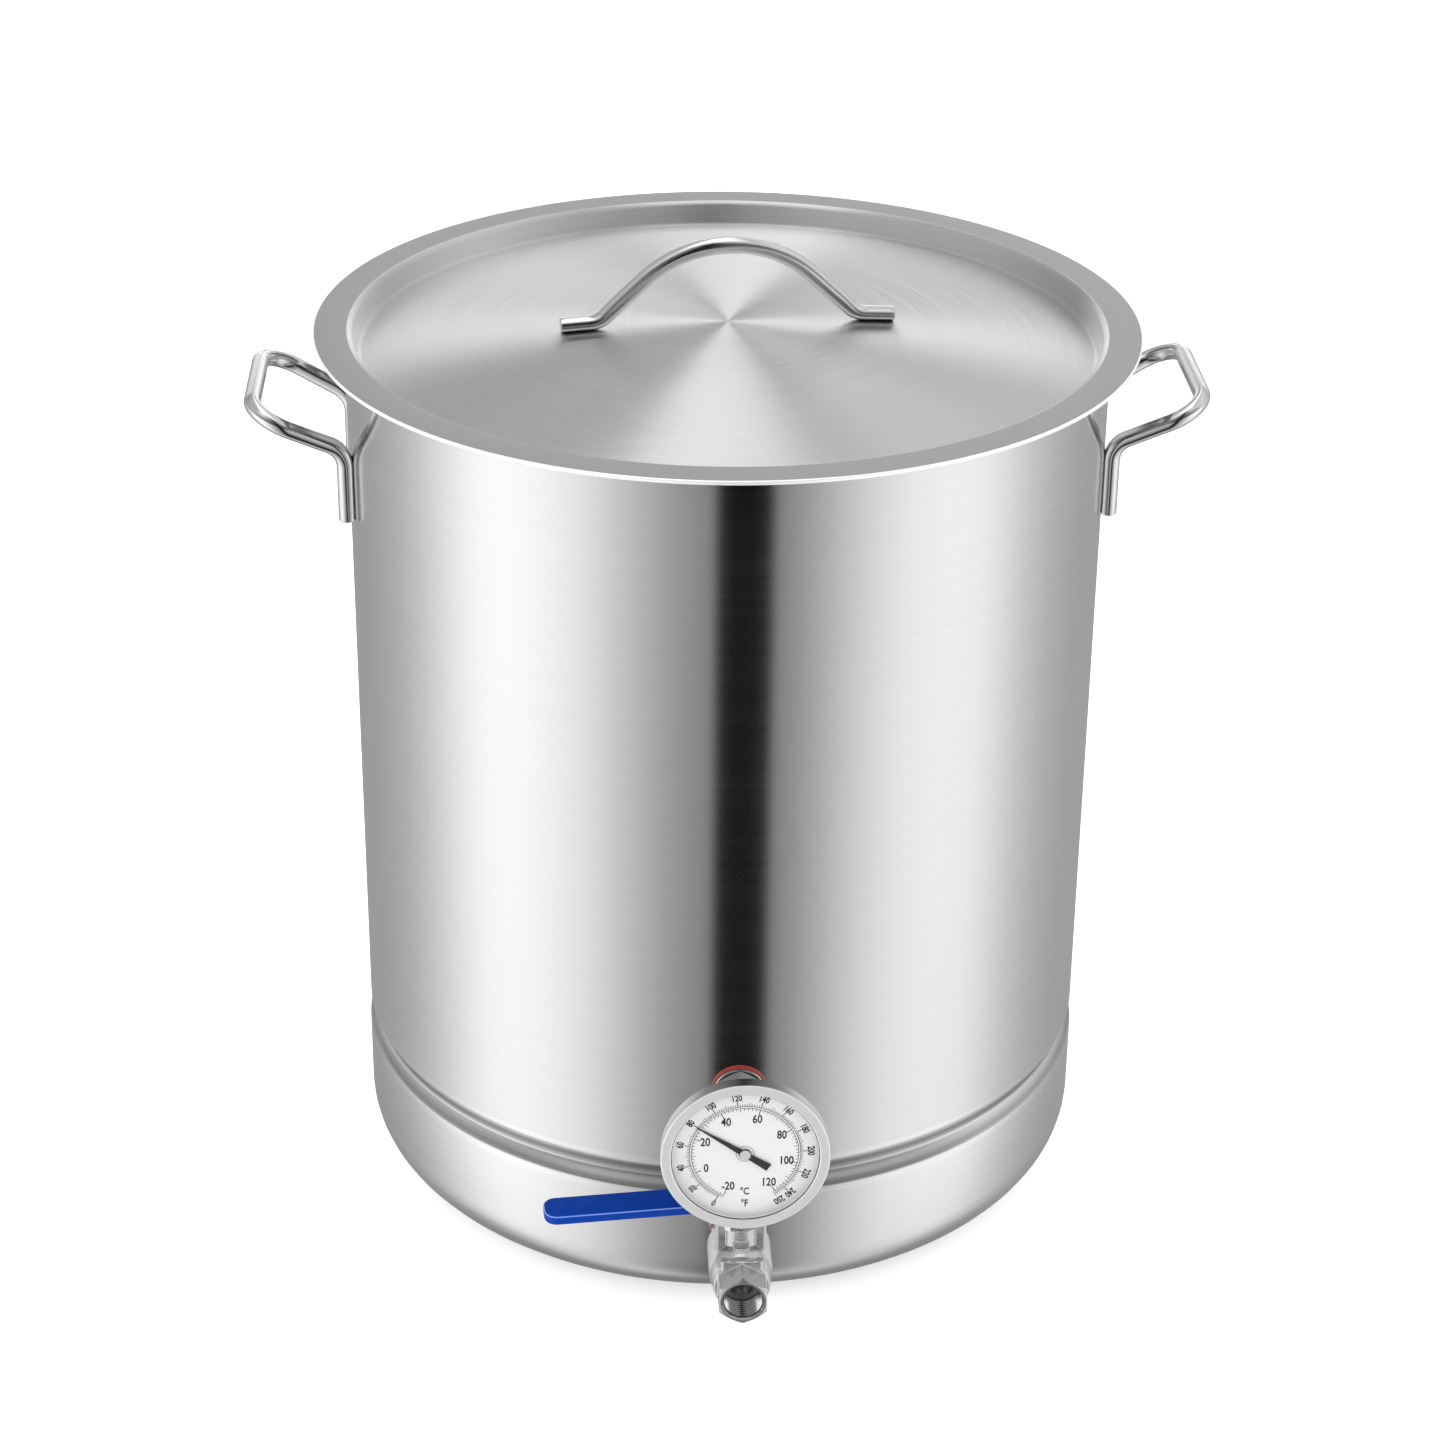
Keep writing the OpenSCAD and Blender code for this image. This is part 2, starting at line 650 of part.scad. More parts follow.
// Stamped steel lever: a plate on the stem with a stop tab, a rising neck and a straight arm.
module lever_plate() {
    rise_from = 14;
    rise_to = 26;
    tab = 90 - stop_angle + 25;               // the tab's lead over the lever
    color(bright_steel) on_lever() difference() {
        union() {
            translate([0, 0, plate_z]) cylinder(r = 11, h = plate_t);
            translate([0, -arm_w / 2, plate_z]) cube([rise_from + 1, arm_w, plate_t]);
            rotate([90, 0, 0]) linear_extrude(arm_w, center = true) polygon([
                [rise_from, plate_z], [rise_to, arm_z], [rise_to, arm_z + plate_t],
                [rise_from, plate_z + plate_t]
            ]);
            translate([rise_to - 0.5, -arm_w / 2, arm_z]) cube([lever_len - rise_to - 6, arm_w, plate_t]);
            rotate([0, 0, tab]) translate([9.2, -1.8, plate_z - 3.4]) cube([2.2, 3.6, 3.4 + plate_t]);
        }
        translate([0, 0, plate_z - cut]) cylinder(r = stem_shaft_r + gap, h = plate_t + 2 * cut);
    }
}
// Dipped vinyl grip round the arm, with a rounded tip.
module lever_sleeve() {
    low = arm_z - 1.4;
    corner = 6.5;
    w = lever_w / 2;
    color(lever_blue) on_lever() difference() {
        translate([0, 0, low]) union() {
            translate([sleeve_start, -w, 0]) cube([lever_len - corner - sleeve_start, lever_w, sleeve_t]);
            translate([sleeve_start, -w + corner, 0])
                cube([lever_len - sleeve_start, lever_w - 2 * corner, sleeve_t]);
            for (s = [-1, 1]) translate([lever_len - corner, s * (w - corner), 0]) cylinder(r = corner, h = sleeve_t);
        }
        translate([0, -arm_w / 2 - gap, arm_z - gap]) cube([lever_len - 6, arm_w + 2 * gap, plate_t + 2 * gap]);
    }
}
module lever_spring_washer() {
    color(bright_steel) on_lever() difference() {
        ring(6.2, stem_shaft_r + gap, plate_z + plate_t + gap, plate_z + plate_t + 1);
        translate([0, -0.4, plate_z]) cube([8, 0.8, 5]);
    }
}
module lever_nut() {
    from = plate_z + plate_t + 1 + gap;
    color(bright_steel) on_lever() difference() {
        hexagon(13, from, from + nut_t, 0.6);
        translate([0, 0, from - cut]) cylinder(r = stem_shaft_r + gap, h = nut_t + 2 * cut);
    }
}

// ---------------------------------------------------------------- nodes

pot();
handle_left();
handle_right();
lid();
lid_handle();
false_bottom();
thermo_seal_outer();
thermo_washer_outer();
thermo_connector();
thermo_seal_inner();
thermo_washer_inner();
thermo_lock_nut();
thermo_stem_tube();
thermo_case();
thermo_shaft_bush();
thermo_bimetal_coil();
thermo_dial();
thermo_dial_spacer();
thermo_lens();
thermo_lens_gasket();
thermo_bezel();
pointer();
pointer_hub();
pointer_shaft();
valve_seal_outer();
valve_washer_outer();
valve_nipple();
valve_seal_inner();
valve_washer_inner();
valve_lock_nut();
valve_body();
valve_end_cap();
valve_cap_gasket();
valve_seat_inlet();
valve_seat_outlet();
valve_stem_packing();
valve_thrust_washer();
valve_gland_nut();
valve_ball();
valve_stem();
lever_plate();
lever_sleeve();
lever_spring_washer();
lever_nut();
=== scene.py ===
"""A stainless steel brew kettle with its lid, dial thermometer, ball valve and false bottom."""
import json
import math

import bmesh
import bpy
from mathutils import Matrix, Vector

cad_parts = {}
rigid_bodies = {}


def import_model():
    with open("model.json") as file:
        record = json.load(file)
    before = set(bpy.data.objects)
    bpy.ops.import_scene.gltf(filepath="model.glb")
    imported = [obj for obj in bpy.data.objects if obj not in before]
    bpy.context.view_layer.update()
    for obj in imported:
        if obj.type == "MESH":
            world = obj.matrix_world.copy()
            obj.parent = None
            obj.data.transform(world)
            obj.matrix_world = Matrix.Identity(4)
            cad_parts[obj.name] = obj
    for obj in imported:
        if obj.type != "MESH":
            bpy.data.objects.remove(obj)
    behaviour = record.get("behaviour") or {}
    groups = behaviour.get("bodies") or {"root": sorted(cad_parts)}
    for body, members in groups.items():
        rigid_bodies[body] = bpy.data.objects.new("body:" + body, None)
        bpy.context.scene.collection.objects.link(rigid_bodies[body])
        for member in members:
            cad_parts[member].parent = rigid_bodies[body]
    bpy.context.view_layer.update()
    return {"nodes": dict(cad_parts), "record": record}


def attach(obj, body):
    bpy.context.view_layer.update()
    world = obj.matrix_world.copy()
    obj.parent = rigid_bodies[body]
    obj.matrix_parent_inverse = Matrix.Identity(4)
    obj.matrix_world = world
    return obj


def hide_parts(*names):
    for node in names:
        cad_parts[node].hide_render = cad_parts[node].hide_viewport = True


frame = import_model()
scene = bpy.context.scene
MM = 0.001

# ------------------------------------------------------------------ camera
# A normal lens a little above the lid's height, looking down at the front.
# The kettle stands turned a little to the camera's right.

kettle_turn = Matrix.Rotation(math.radians(-2.4), 3, "Z")
camera_at = kettle_turn @ Vector((-0.0155, -1.6981, 1.1093))
pitch, yaw, roll = 0.4686, 0.0088, 0.011
sight = Vector((math.sin(yaw) * math.cos(pitch), math.cos(yaw) * math.cos(pitch), -math.sin(pitch)))
level = sight.cross(Vector((0, 0, 1))).normalized()
upright = level.cross(sight)
across = math.cos(roll) * level + math.sin(roll) * upright
upward = math.cos(roll) * upright - math.sin(roll) * level

camera_data = bpy.data.cameras.new("camera")
camera_data.sensor_width = 36.0
camera_data.lens = 85.62
camera = bpy.data.objects.new("camera", camera_data)
turned = [kettle_turn @ v for v in (across, upward, -sight)]
camera.matrix_world = Matrix.Translation(camera_at) @ Matrix(turned).transposed().to_4x4()
scene.collection.objects.link(camera)
scene.camera = camera
scene.view_settings.view_transform = "Standard"

# ------------------------------------------------------------------ floor and lights
# A pale floor, two tall soft boxes at the sides and a wide one overhead.
# The room is pale all round but for a dark gap behind the camera.

floor_half = 12.0
kettle_middle, lid_middle = Vector((0, 0, 0.25)), Vector((0, 0, 0.48))


def socket(node, name, value):
    """Sets an input of a node."""
    node.inputs[name].default_value = value


def link(tree, source, target):
    """Joins an output to an input."""
    tree.links.new(source, target)


def feed(tree, value, target):
    """Joins an output to an input, or sets the input to a plain value."""
    if isinstance(value, bpy.types.NodeSocket):
        link(tree, value, target)
    else:
        target.default_value = value


def principled(name, colour, **settings):
    """A material with its Principled shader, for nodes to be added to."""
    material = bpy.data.materials.new(name)
    material.use_nodes = True
    shader = material.node_tree.nodes["Principled BSDF"]
    socket(shader, "Base Color", (*colour, 1))
    for key, value in settings.items():
        socket(shader, key.replace("_", " "), value)
    return material, material.node_tree, shader


def noise(tree, scale, vector=None, detail=2.0, roughness=0.5):
    """Smooth random grey, finer as its scale grows."""
    node = tree.nodes.new("ShaderNodeTexNoise")
    socket(node, "Scale", scale)
    socket(node, "Detail", detail)
    socket(node, "Roughness", roughness)
    if vector is not None:
        link(tree, vector, node.inputs["Vector"])
    return node.outputs["Fac"]


def remapped(tree, value, to_low, to_high, low=0.0, high=1.0, interpolation="LINEAR"):
    """A value with its range from low to high laid on another range."""
    node = tree.nodes.new("ShaderNodeMapRange")
    node.interpolation_type = interpolation
    for name, number in (("From Min", low), ("From Max", high), ("To Min", to_low), ("To Max", to_high)):
        socket(node, name, number)
    link(tree, value, node.inputs["Value"])
    return node.outputs["Result"]


floor_white, tree, shader = principled("floor_white", (0.88, 0.88, 0.88), Roughness=0.9,
                                       Emission_Color=(1, 1, 1, 1), Emission_Strength=0.35)
link(tree, remapped(tree, noise(tree, 3.0), 0.86, 0.92), shader.inputs["Roughness"])

floor_mesh = bpy.data.meshes.new("floor")
bm = bmesh.new()
bmesh.ops.create_grid(bm, x_segments=1, y_segments=1, size=floor_half)
bm.to_mesh(floor_mesh)
bm.free()
floor = bpy.data.objects.new("floor", floor_mesh)
floor_mesh.materials.append(floor_white)
scene.collection.objects.link(floor)
floor.visible_glossy = False


def soft_box(name, azimuth, height, distance, size, power):
    """A rectangular lamp, unseen in mirrors, at an azimuth from the front and aimed at the kettle."""
    data = bpy.data.lights.new(name, "AREA")
    data.shape = "RECTANGLE"
    data.size, data.size_y = size
    data.energy = power
    lamp = bpy.data.objects.new(name, data)
    a = math.radians(azimuth)
    place = Vector((distance * math.sin(a), -distance * math.cos(a), height))
    lamp.location = place
    lamp.rotation_euler = (kettle_middle - place).to_track_quat("-Z", "Y").to_euler()
    lamp.visible_glossy = False
    scene.collection.objects.link(lamp)


soft_box("overhead", 180, 2.6, 0.6, (2.4, 2.4), 26)
soft_box("left_box", -70, 0.9, 2.2, (1.2, 2.0), 16)
soft_box("right_box", 72, 0.9, 2.2, (1.2, 2.0), 14)

world = bpy.data.worlds.new("pale_room")
scene.world = world
world.use_nodes = True
tree = world.node_tree
background = tree.nodes["Background"]


def maths(tree, operation, *values):
    """The result of a sum on outputs and plain numbers."""
    node = tree.nodes.new("ShaderNodeMath")
    node.operation = operation
    for value, target in zip(values, node.inputs):
        feed(tree, value, target)
    return node.outputs["Value"]


def vector_maths(tree, operation, first, second=None):
    """The result of a vector sum on an output and, where there are two, a second value."""
    node = tree.nodes.new("ShaderNodeVectorMath")
    node.operation = operation
    link(tree, first, node.inputs[0])
    if second is not None:
        feed(tree, second, node.inputs["Scale" if operation == "SCALE" else 1])
    return node.outputs["Value" if operation == "LENGTH" else "Vector"]


def separated(tree, vector):
    """The X, Y and Z of a vector."""
    node = tree.nodes.new("ShaderNodeSeparateXYZ")
    link(tree, vector, node.inputs["Vector"])
    return node.outputs["X"], node.outputs["Y"], node.outputs["Z"]


def toned(tree, value, stops):
    """A grey for a value from 0 to 1, through stops of place and brightness."""
    node = tree.nodes.new("ShaderNodeValToRGB")
    while len(node.color_ramp.elements) < len(stops):
        node.color_ramp.elements.new(0.5)
    for element, (place, tone) in zip(node.color_ramp.elements, stops):
        element.position = place
        element.color = (tone, tone, tone, 1)
    link(tree, value, node.inputs["Fac"])
    return node.outputs["Color"]


def mixed(tree, factor, first, second, blend="MIX"):
    """One colour laid over another. Each value is an output or a plain one."""
    node = tree.nodes.new("ShaderNodeMix")
    node.data_type = "RGBA"
    node.blend_type = blend
    for name, value in (("Factor", factor), ("A", first), ("B", second)):
        feed(tree, value, node.inputs[name])
    return node.outputs["Result"]


def tone_round(tree, x, y, stops):
    """A tone from the angle whose tangent is x over y, through stops of degrees and brightness."""
    turn = remapped(tree, maths(tree, "ARCTAN2", x, y), 0.0, 1.0, -math.pi, math.pi)
    return toned(tree, turn, [((degrees + 180) / 360, tone) for degrees, tone in stops])


# Level with the kettle: bright to both sides, dim behind, and the gap in front.
where = tree.nodes.new("ShaderNodeTexCoord").outputs["Generated"]
level_x, level_y, level_z = separated(tree, vector_maths(tree, "MULTIPLY", where, (1, -1, 1)))
walls = tone_round(tree, level_x, level_y, [
    (-180, 0.29), (-160, 0.29), (-148, 0.30), (-135, 0.34), (-122, 0.40), (-109, 0.53), (-96, 0.74),
    (-84, 0.94), (-75, 1.0), (-66, 0.98), (-54, 0.87), (-45, 0.76), (-32, 0.52), (-20, 0.34), (-13, 0.27),
    (-6.8, 0.23), (-4.8, 0.0), (10.6, 0.0), (12.6, 0.22), (19, 0.29), (27, 0.42), (40, 0.65), (53, 0.82),
    (66, 0.88), (79, 0.86), (87, 0.76), (100, 0.55), (113, 0.42), (130, 0.34), (147, 0.31), (180, 0.29),
])
depth_stops = [
    (-1.0, 0.62), (-0.9, 0.6), (-0.8, 0.7), (-0.7, 0.88), (-0.6, 0.86), (-0.55, 0.93), (-0.5, 1.0),
    (-0.2, 1.0), (-0.05, 1.25), (0.06, 1.2), (0.2, 0.25), (0.5, 0.3), (0.75, 0.8),
]
depths = toned(tree, remapped(tree, level_z, 0.0, 1.0, -1.0, 1.0),
               [((height + 1) / 2, tone) for height, tone in depth_stops])
lower = mixed(tree, 1.0, walls, depths, "MULTIPLY")

# Overhead the light is striped about the line of sight, so that ringed scratches show as fans.
midway = vector_maths(tree, "ADD", where, (camera_at - lid_middle).normalized())
tilted_x, tilted_y = separated(tree, vector_maths(tree, "MULTIPLY", midway, (-1, -1, 1)))[:2]
ceiling = tone_round(tree, tilted_x, tilted_y, [
    (-180, 0.5), (-168, 0.15), (-150, 0.1), (-138, 0.35), (-128, 0.9), (-118, 1.3), (-104, 1.3), (-90, 0.95),
    (-78, 0.6), (-66, 0.42), (-54, 0.52), (-42, 0.62), (-26, 0.6), (-19, 0.4), (-14, 0.45), (-9, 0.95),
    (0, 1.2), (17, 1.15), (24, 0.42), (36, 0.38), (48, 0.4), (62, 0.32), (76, 0.25), (86, 0.6), (98, 0.95),
    (110, 1.25), (124, 1.05), (136, 0.45), (150, 0.1), (164, 0.15), (180, 0.5),
])
above = remapped(tree, level_z, 0.0, 1.0, -0.03, 0.14, "SMOOTHSTEP")
behind = remapped(tree, level_y, 0.0, 1.0, 0.6, 0.0, "SMOOTHSTEP")
room = mixed(tree, maths(tree, "MULTIPLY", above, behind), lower, ceiling)

# Only shiny things see the room: the background itself and its light are plain white.
rays = tree.nodes.new("ShaderNodeLightPath").outputs
link(tree, mixed(tree, rays["Is Glossy Ray"], (1, 1, 1, 1), room), background.inputs["Color"])
socket(background, "Strength", 1.25)

# ------------------------------------------------------------------ pot
# Spun stainless sheet, one millimetre thick, brushed round and round on the outside.
# A bead is rolled in low on the wall, and the rim is curled outwards.


def grain_group():
    """Fine scratches from stretched noise, with slow changes of tone under them."""
    group = bpy.data.node_groups.new("brushed_grain", "ShaderNodeTree")
    for label, kind, value in (
        ("Vector", "NodeSocketVector", (0, 0, 0)),
        ("Roughness", "NodeSocketFloat", 0.3),
        ("Scratch", "NodeSocketFloat", 0.1),
        ("Tone", "NodeSocketFloat", 0.1),
        ("Colour", "NodeSocketColor", (0.7, 0.7, 0.7, 1)),
    ):
        made = group.interface.new_socket(name=label, in_out="INPUT", socket_type=kind)
        made.default_value = value
    for label, kind in (("Colour", "Color"), ("Roughness", "Float"), ("Height", "Float")):
        group.interface.new_socket(name=label, in_out="OUTPUT", socket_type=f"NodeSocket{kind}")
    given = group.nodes.new("NodeGroupInput").outputs
    result = group.nodes.new("NodeGroupOutput").inputs
    fine = maths(group, "SUBTRACT", noise(group, 1.0, given["Vector"], 3.0, 0.6), 0.5)
    slow = maths(group, "SUBTRACT", noise(group, 0.06, given["Vector"]), 0.5)
    both = maths(group, "ADD", maths(group, "MULTIPLY", fine, given["Scratch"]),
                 maths(group, "MULTIPLY", slow, given["Tone"]))
    tint = vector_maths(group, "SCALE", given["Colour"], maths(group, "ADD", both, 1.0))
    link(group, tint, result["Colour"])
    link(group, maths(group, "ADD", both, given["Roughness"]), result["Roughness"])
    link(group, fine, result["Height"])
    return group


brushed_grain = grain_group()


def bumped(tree, shader, height, strength, distance):
    """Gives a shader's surface fine relief from a height."""
    bump = tree.nodes.new("ShaderNodeBump")
    socket(bump, "Strength", strength)
    socket(bump, "Distance", distance)
    link(tree, height, bump.inputs["Height"])
    link(tree, bump.outputs["Normal"], shader.inputs["Normal"])


def brushed_metal(name, colour, roughness, stretch, scratch=0.12, tone=0.12, depth=0.00002,
                  anisotropic=0.0, pattern=None, shade=None, **settings):
    """Brushed or polished steel. stretch is the scratches' fineness along X, Y and Z."""
    material, tree, shader = principled(name, colour, **{"Metallic": 1.0, **settings})
    place = tree.nodes.new("ShaderNodeTexCoord").outputs["Object"]
    stretched = tree.nodes.new("ShaderNodeMapping")
    socket(stretched, "Scale", stretch)
    link(tree, pattern(tree, place) if pattern else place, stretched.inputs["Vector"])
    grain = tree.nodes.new("ShaderNodeGroup")
    grain.node_tree = brushed_grain
    link(tree, stretched.outputs["Vector"], grain.inputs["Vector"])
    for label, value in (("Roughness", roughness), ("Scratch", scratch), ("Tone", tone),
                         ("Colour", (*colour, 1))):
        socket(grain, label, value)
    surface = grain.outputs["Colour"]
    # shade, where given, multiplies the colour by painted shade and painted highlights laid by the object's
    # position.
    if shade:
        surface = mixed(tree, 1.0, surface, shade(tree, place), "MULTIPLY")
    link(tree, surface, shader.inputs["Base Color"])
    link(tree, grain.outputs["Roughness"], shader.inputs["Roughness"])
    bumped(tree, shader, grain.outputs["Height"], 0.5, depth)
    if anisotropic:
        socket(shader, "Anisotropic", anisotropic)
        socket(shader, "Anisotropic Rotation", 0.25)
        along = tree.nodes.new("ShaderNodeTangent")
        along.direction_type = "RADIAL"
        along.axis = "Z"
        link(tree, along.outputs["Tangent"], shader.inputs["Tangent"])
    return material


def profile_edges(bm, points):
    """A chain of edges through points (r, z) in the XZ plane, and its vertices."""
    verts = [bm.verts.new((r * MM, 0, z * MM)) for r, z in points]
    edges = [bm.edges.new(pair) for pair in zip(verts, verts[1:])]
    return verts, edges


def rounded(points):
    """Corner points (r, z, radius) as a line with its corners rounded."""
    line = []
    for i, (x, z, radius) in enumerate(points):
        here = Vector((x, z))
        if radius == 0 or i in (0, len(points) - 1):
            line.append((x, z))
            continue
        before = (Vector(points[i - 1][:2]) - here).normalized()
        after = (Vector(points[i + 1][:2]) - here).normalized()
        half = before.angle(after) / 2
        centre = here + (before + after).normalized() * radius / math.sin(half)
        start = here + before * radius / math.tan(half) - centre
        end = here + after * radius / math.tan(half) - centre
        sweep = start.angle_signed(end)
        count = max(3, int(abs(sweep) / math.radians(9)))
        for k in range(count + 1):
            spot = centre + Matrix.Rotation(-sweep * k / count, 2) @ start
            line.append((spot.x, spot.y))
    return line


def lathe(points, steps):
    """Spins a profile (r, z) in millimetres round the Z axis."""
    bm = bmesh.new()
    verts, edges = profile_edges(bm, points)
    bmesh.ops.spin(bm, geom=verts + edges, cent=(0, 0, 0), axis=(0, 0, 1), dvec=(0, 0, 0),
                   angle=math.tau, steps=steps, use_merge=True, use_normal_flip=False, use_duplicate=False)
    bmesh.ops.remove_doubles(bm, verts=bm.verts, dist=1e-6)
    bmesh.ops.recalc_face_normals(bm, faces=bm.faces)
    return bm


def finish(name, bm, body, material, nodes, sharp=35):
    """Makes the mesh a piece that stands for its nodes and rides on its body."""
    mesh = bpy.data.meshes.new(name)
    bm.to_mesh(mesh)
    bm.free()
    mesh.materials.append(material)
    mesh.shade_smooth()
    mesh.set_sharp_from_angle(angle=math.radians(sharp))
    piece = bpy.data.objects.new(name, mesh)
    scene.collection.objects.link(piece)
    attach(piece, body)
    if nodes:
        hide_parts(*nodes)
    return piece


pot_r, pot_h, sheet = 200.0, 484.0, 1.0
skirt_r, corner_r = 200.7, 33.0
bead_z, bead_w, bead_depth, bead_steps = 82.0, 19.0, 5.0, 24
curl_r = 3.0
curl_x, curl_z = pot_r + 2.0, pot_h - curl_r
# Extra rings keep the shading of the long flat stretches even.
bottom_rings = (40, 80, 120, 150)
wall_rings = (*range(92, 170, 4), *range(170, 480, 20))


def pot_wall(inset):
    """The wall's line from the middle of the bottom to the curl, set in by an inset."""
    side = skirt_r - inset
    line = rounded([(0, inset, 0), (side, inset, corner_r - inset), (side, bead_z - bead_w / 2, 0)])
    line[1:1] = [(r, inset) for r in bottom_rings]
    for i in range(1, bead_steps):
        t = i / bead_steps
        base = skirt_r + (pot_r - skirt_r) * t
        dip = bead_depth * (1 - math.cos(math.tau * t)) / 2
        line.append((base - inset - dip, bead_z + bead_w * (t - 0.5)))
    return line + [(pot_r - inset, z) for z in wall_rings]


def arc(x, z, radius, degrees):
    """Points (r, z) round a centre, at a row of angles."""
    return [(x + radius * math.cos(math.radians(a)), z + radius * math.sin(math.radians(a))) for a in degrees]


curl = arc(curl_x, curl_z, curl_r - sheet, range(180, -51, -11))
curl += arc(curl_x, curl_z, curl_r, range(-50, 181, 11))
bm = lathe(pot_wall(0) + curl + pot_wall(sheet)[::-1], 256)


def disc(back, front, radius, back_round=0, front_round=0, steps=64):
    """A round bar along +Z with rounded ends."""
    line = [(0, back, 0), (radius, back, back_round), (radius, front, front_round), (0, front, 0)]
    return lathe(rounded(line), steps)


def at_front(bm, height):
    """Turns a shape made along +Z to stand out of the front at a height."""
    bmesh.ops.rotate(bm, cent=(0, 0, 0), matrix=Matrix.Rotation(math.pi / 2, 3, "X"), verts=bm.verts)
    bmesh.ops.translate(bm, vec=(0, 0, height * MM), verts=bm.verts)
    return bm


def evaluated(piece):
    """The mesh of a piece with its modifiers applied, as a bmesh, and the piece removed."""
    bpy.context.view_layer.update()
    bm = bmesh.new()
    bm.from_object(piece, bpy.context.evaluated_depsgraph_get())
    mesh = piece.data
    bpy.data.objects.remove(piece)
    bpy.data.meshes.remove(mesh)
    return bm


def loose(name, bm):
    """A passing object for a modifier to work on."""
    mesh = bpy.data.meshes.new(name)
    bm.to_mesh(mesh)
    bm.free()
    piece = bpy.data.objects.new(name, mesh)
    scene.collection.objects.link(piece)
    return piece


def cut_away(bm, tool_bm):
    """bm with another shape cut out of it."""
    blank, tool = loose("blank", bm), loose("tool", tool_bm)
    cut = blank.modifiers.new("cut", "BOOLEAN")
    cut.operation = "DIFFERENCE"
    cut.solver = "EXACT"
    cut.object = tool
    result = evaluated(blank)
    mesh = tool.data
    bpy.data.objects.remove(tool)
    bpy.data.meshes.remove(mesh)
    return result


# Two holes are punched low in the front, for the thermometer and for the valve.
thermo_z, valve_z = 139.0, 50.5
for height, hole_r in ((thermo_z, 10.6), (valve_z, 10.7)):
    bm = cut_away(bm, at_front(disc(pot_r - 20, pot_r + 20, hole_r), height))


def bead_shade(tree, vector):
    """Painted shade in the bead's groove, with painted highlights on its two lips, laid by height."""
    height = separated(tree, vector)[2]
    low, high = bead_z - 14, bead_z + 14
    # Tones below 1 paint the groove's shade and dark lines; tones above 1 paint highlights on the lips.
    stops = [
        (-12.5, 1.0), (-10.5, 1.08), (-8.5, 1.0), (-7.2, 0.72), (-6.0, 0.60), (-4.6, 0.78), (-3.0, 1.0),
        (-1.6, 0.95), (-0.6, 0.52), (1.5, 0.40), (4.0, 0.43), (6.0, 0.58), (7.6, 1.0), (9.0, 1.14),
        (10.6, 1.1), (12.5, 1.0),
    ]
    return toned(tree, remapped(tree, height, 0.0, 1.0, low * MM, high * MM),
                 [((bead_z + above_middle - low) / (high - low), tone) for above_middle, tone in stops])


# The pot's colour carries the bead's painted shade and painted highlights.
pot_steel = brushed_metal("pot_steel", (0.80, 0.80, 0.80), 0.19, (3, 3, 1400), scratch=0.10, tone=0.03,
                          depth=0.000005, anisotropic=0.90, shade=bead_shade)
finish("pot_shell", bm, "kettle", pot_steel, ["pot"])

# ------------------------------------------------------------------ side handles
# Two polished stainless rods, each bent in one piece from a leg to the grip and back.
# The legs are pressed a little flat where they are spot-welded to the wall.


def bent_rod(path, bends, radius, sides=40, edge=1.2):
    """A rod through corner points in millimetres, each rounded to its own bend radius."""
    points = [Vector(p) * MM for p in path]
    bm = bmesh.new()
    ahead = (points[1] - points[0]).normalized()
    turn_up = Vector((0, 0, 1)).rotation_difference(ahead).to_matrix().to_4x4()
    bmesh.ops.create_circle(bm, cap_ends=False, segments=sides, radius=radius * MM,
                            matrix=Matrix.Translation(points[0]) @ turn_up)
    loop = bm.edges[:]
    first = loop[:]
    here = points[0]
    for i in range(1, len(points)):
        ahead = (points[i] - points[i - 1]).normalized()
        stop = points[i].copy()
        if i < len(points) - 1:
            after = (points[i + 1] - points[i]).normalized()
            bend = ahead.angle(after)
            stop -= ahead * bends[i] * MM * math.tan(bend / 2)
        grown = bmesh.ops.extrude_edge_only(bm, edges=loop)["geom"]
        moved = [g for g in grown if isinstance(g, bmesh.types.BMVert)]
        bmesh.ops.translate(bm, vec=stop - here, verts=moved)
        loop = [g for g in grown if isinstance(g, bmesh.types.BMEdge)]
        here = stop
        if i < len(points) - 1:
            axis = ahead.cross(after).normalized()
            centre = stop + axis.cross(ahead) * bends[i] * MM
            swept = bmesh.ops.spin(bm, geom=loop, cent=centre, axis=axis, dvec=(0, 0, 0), angle=bend,
                                   steps=max(4, int(math.degrees(bend) / 5)), use_merge=False,
                                   use_normal_flip=False, use_duplicate=False)["geom_last"]
            loop = [g for g in swept if isinstance(g, bmesh.types.BMEdge)]
            here = centre + Matrix.Rotation(bend, 3, axis) @ (stop - centre)
    bmesh.ops.edgeloop_fill(bm, edges=first)
    bmesh.ops.edgeloop_fill(bm, edges=loop)
    bmesh.ops.remove_doubles(bm, verts=bm.verts, dist=1e-6)
    rims = [e for e in bm.edges if len(e.link_faces) == 2 and any(len(f.verts) > 4 for f in e.link_faces)]
    bmesh.ops.bevel(bm, geom=rims, offset=edge * MM, offset_type="OFFSET", segments=4, profile=0.5,
                    affect="EDGES", material=-1)
    bmesh.ops.recalc_face_normals(bm, faces=bm.faces)
    return bm


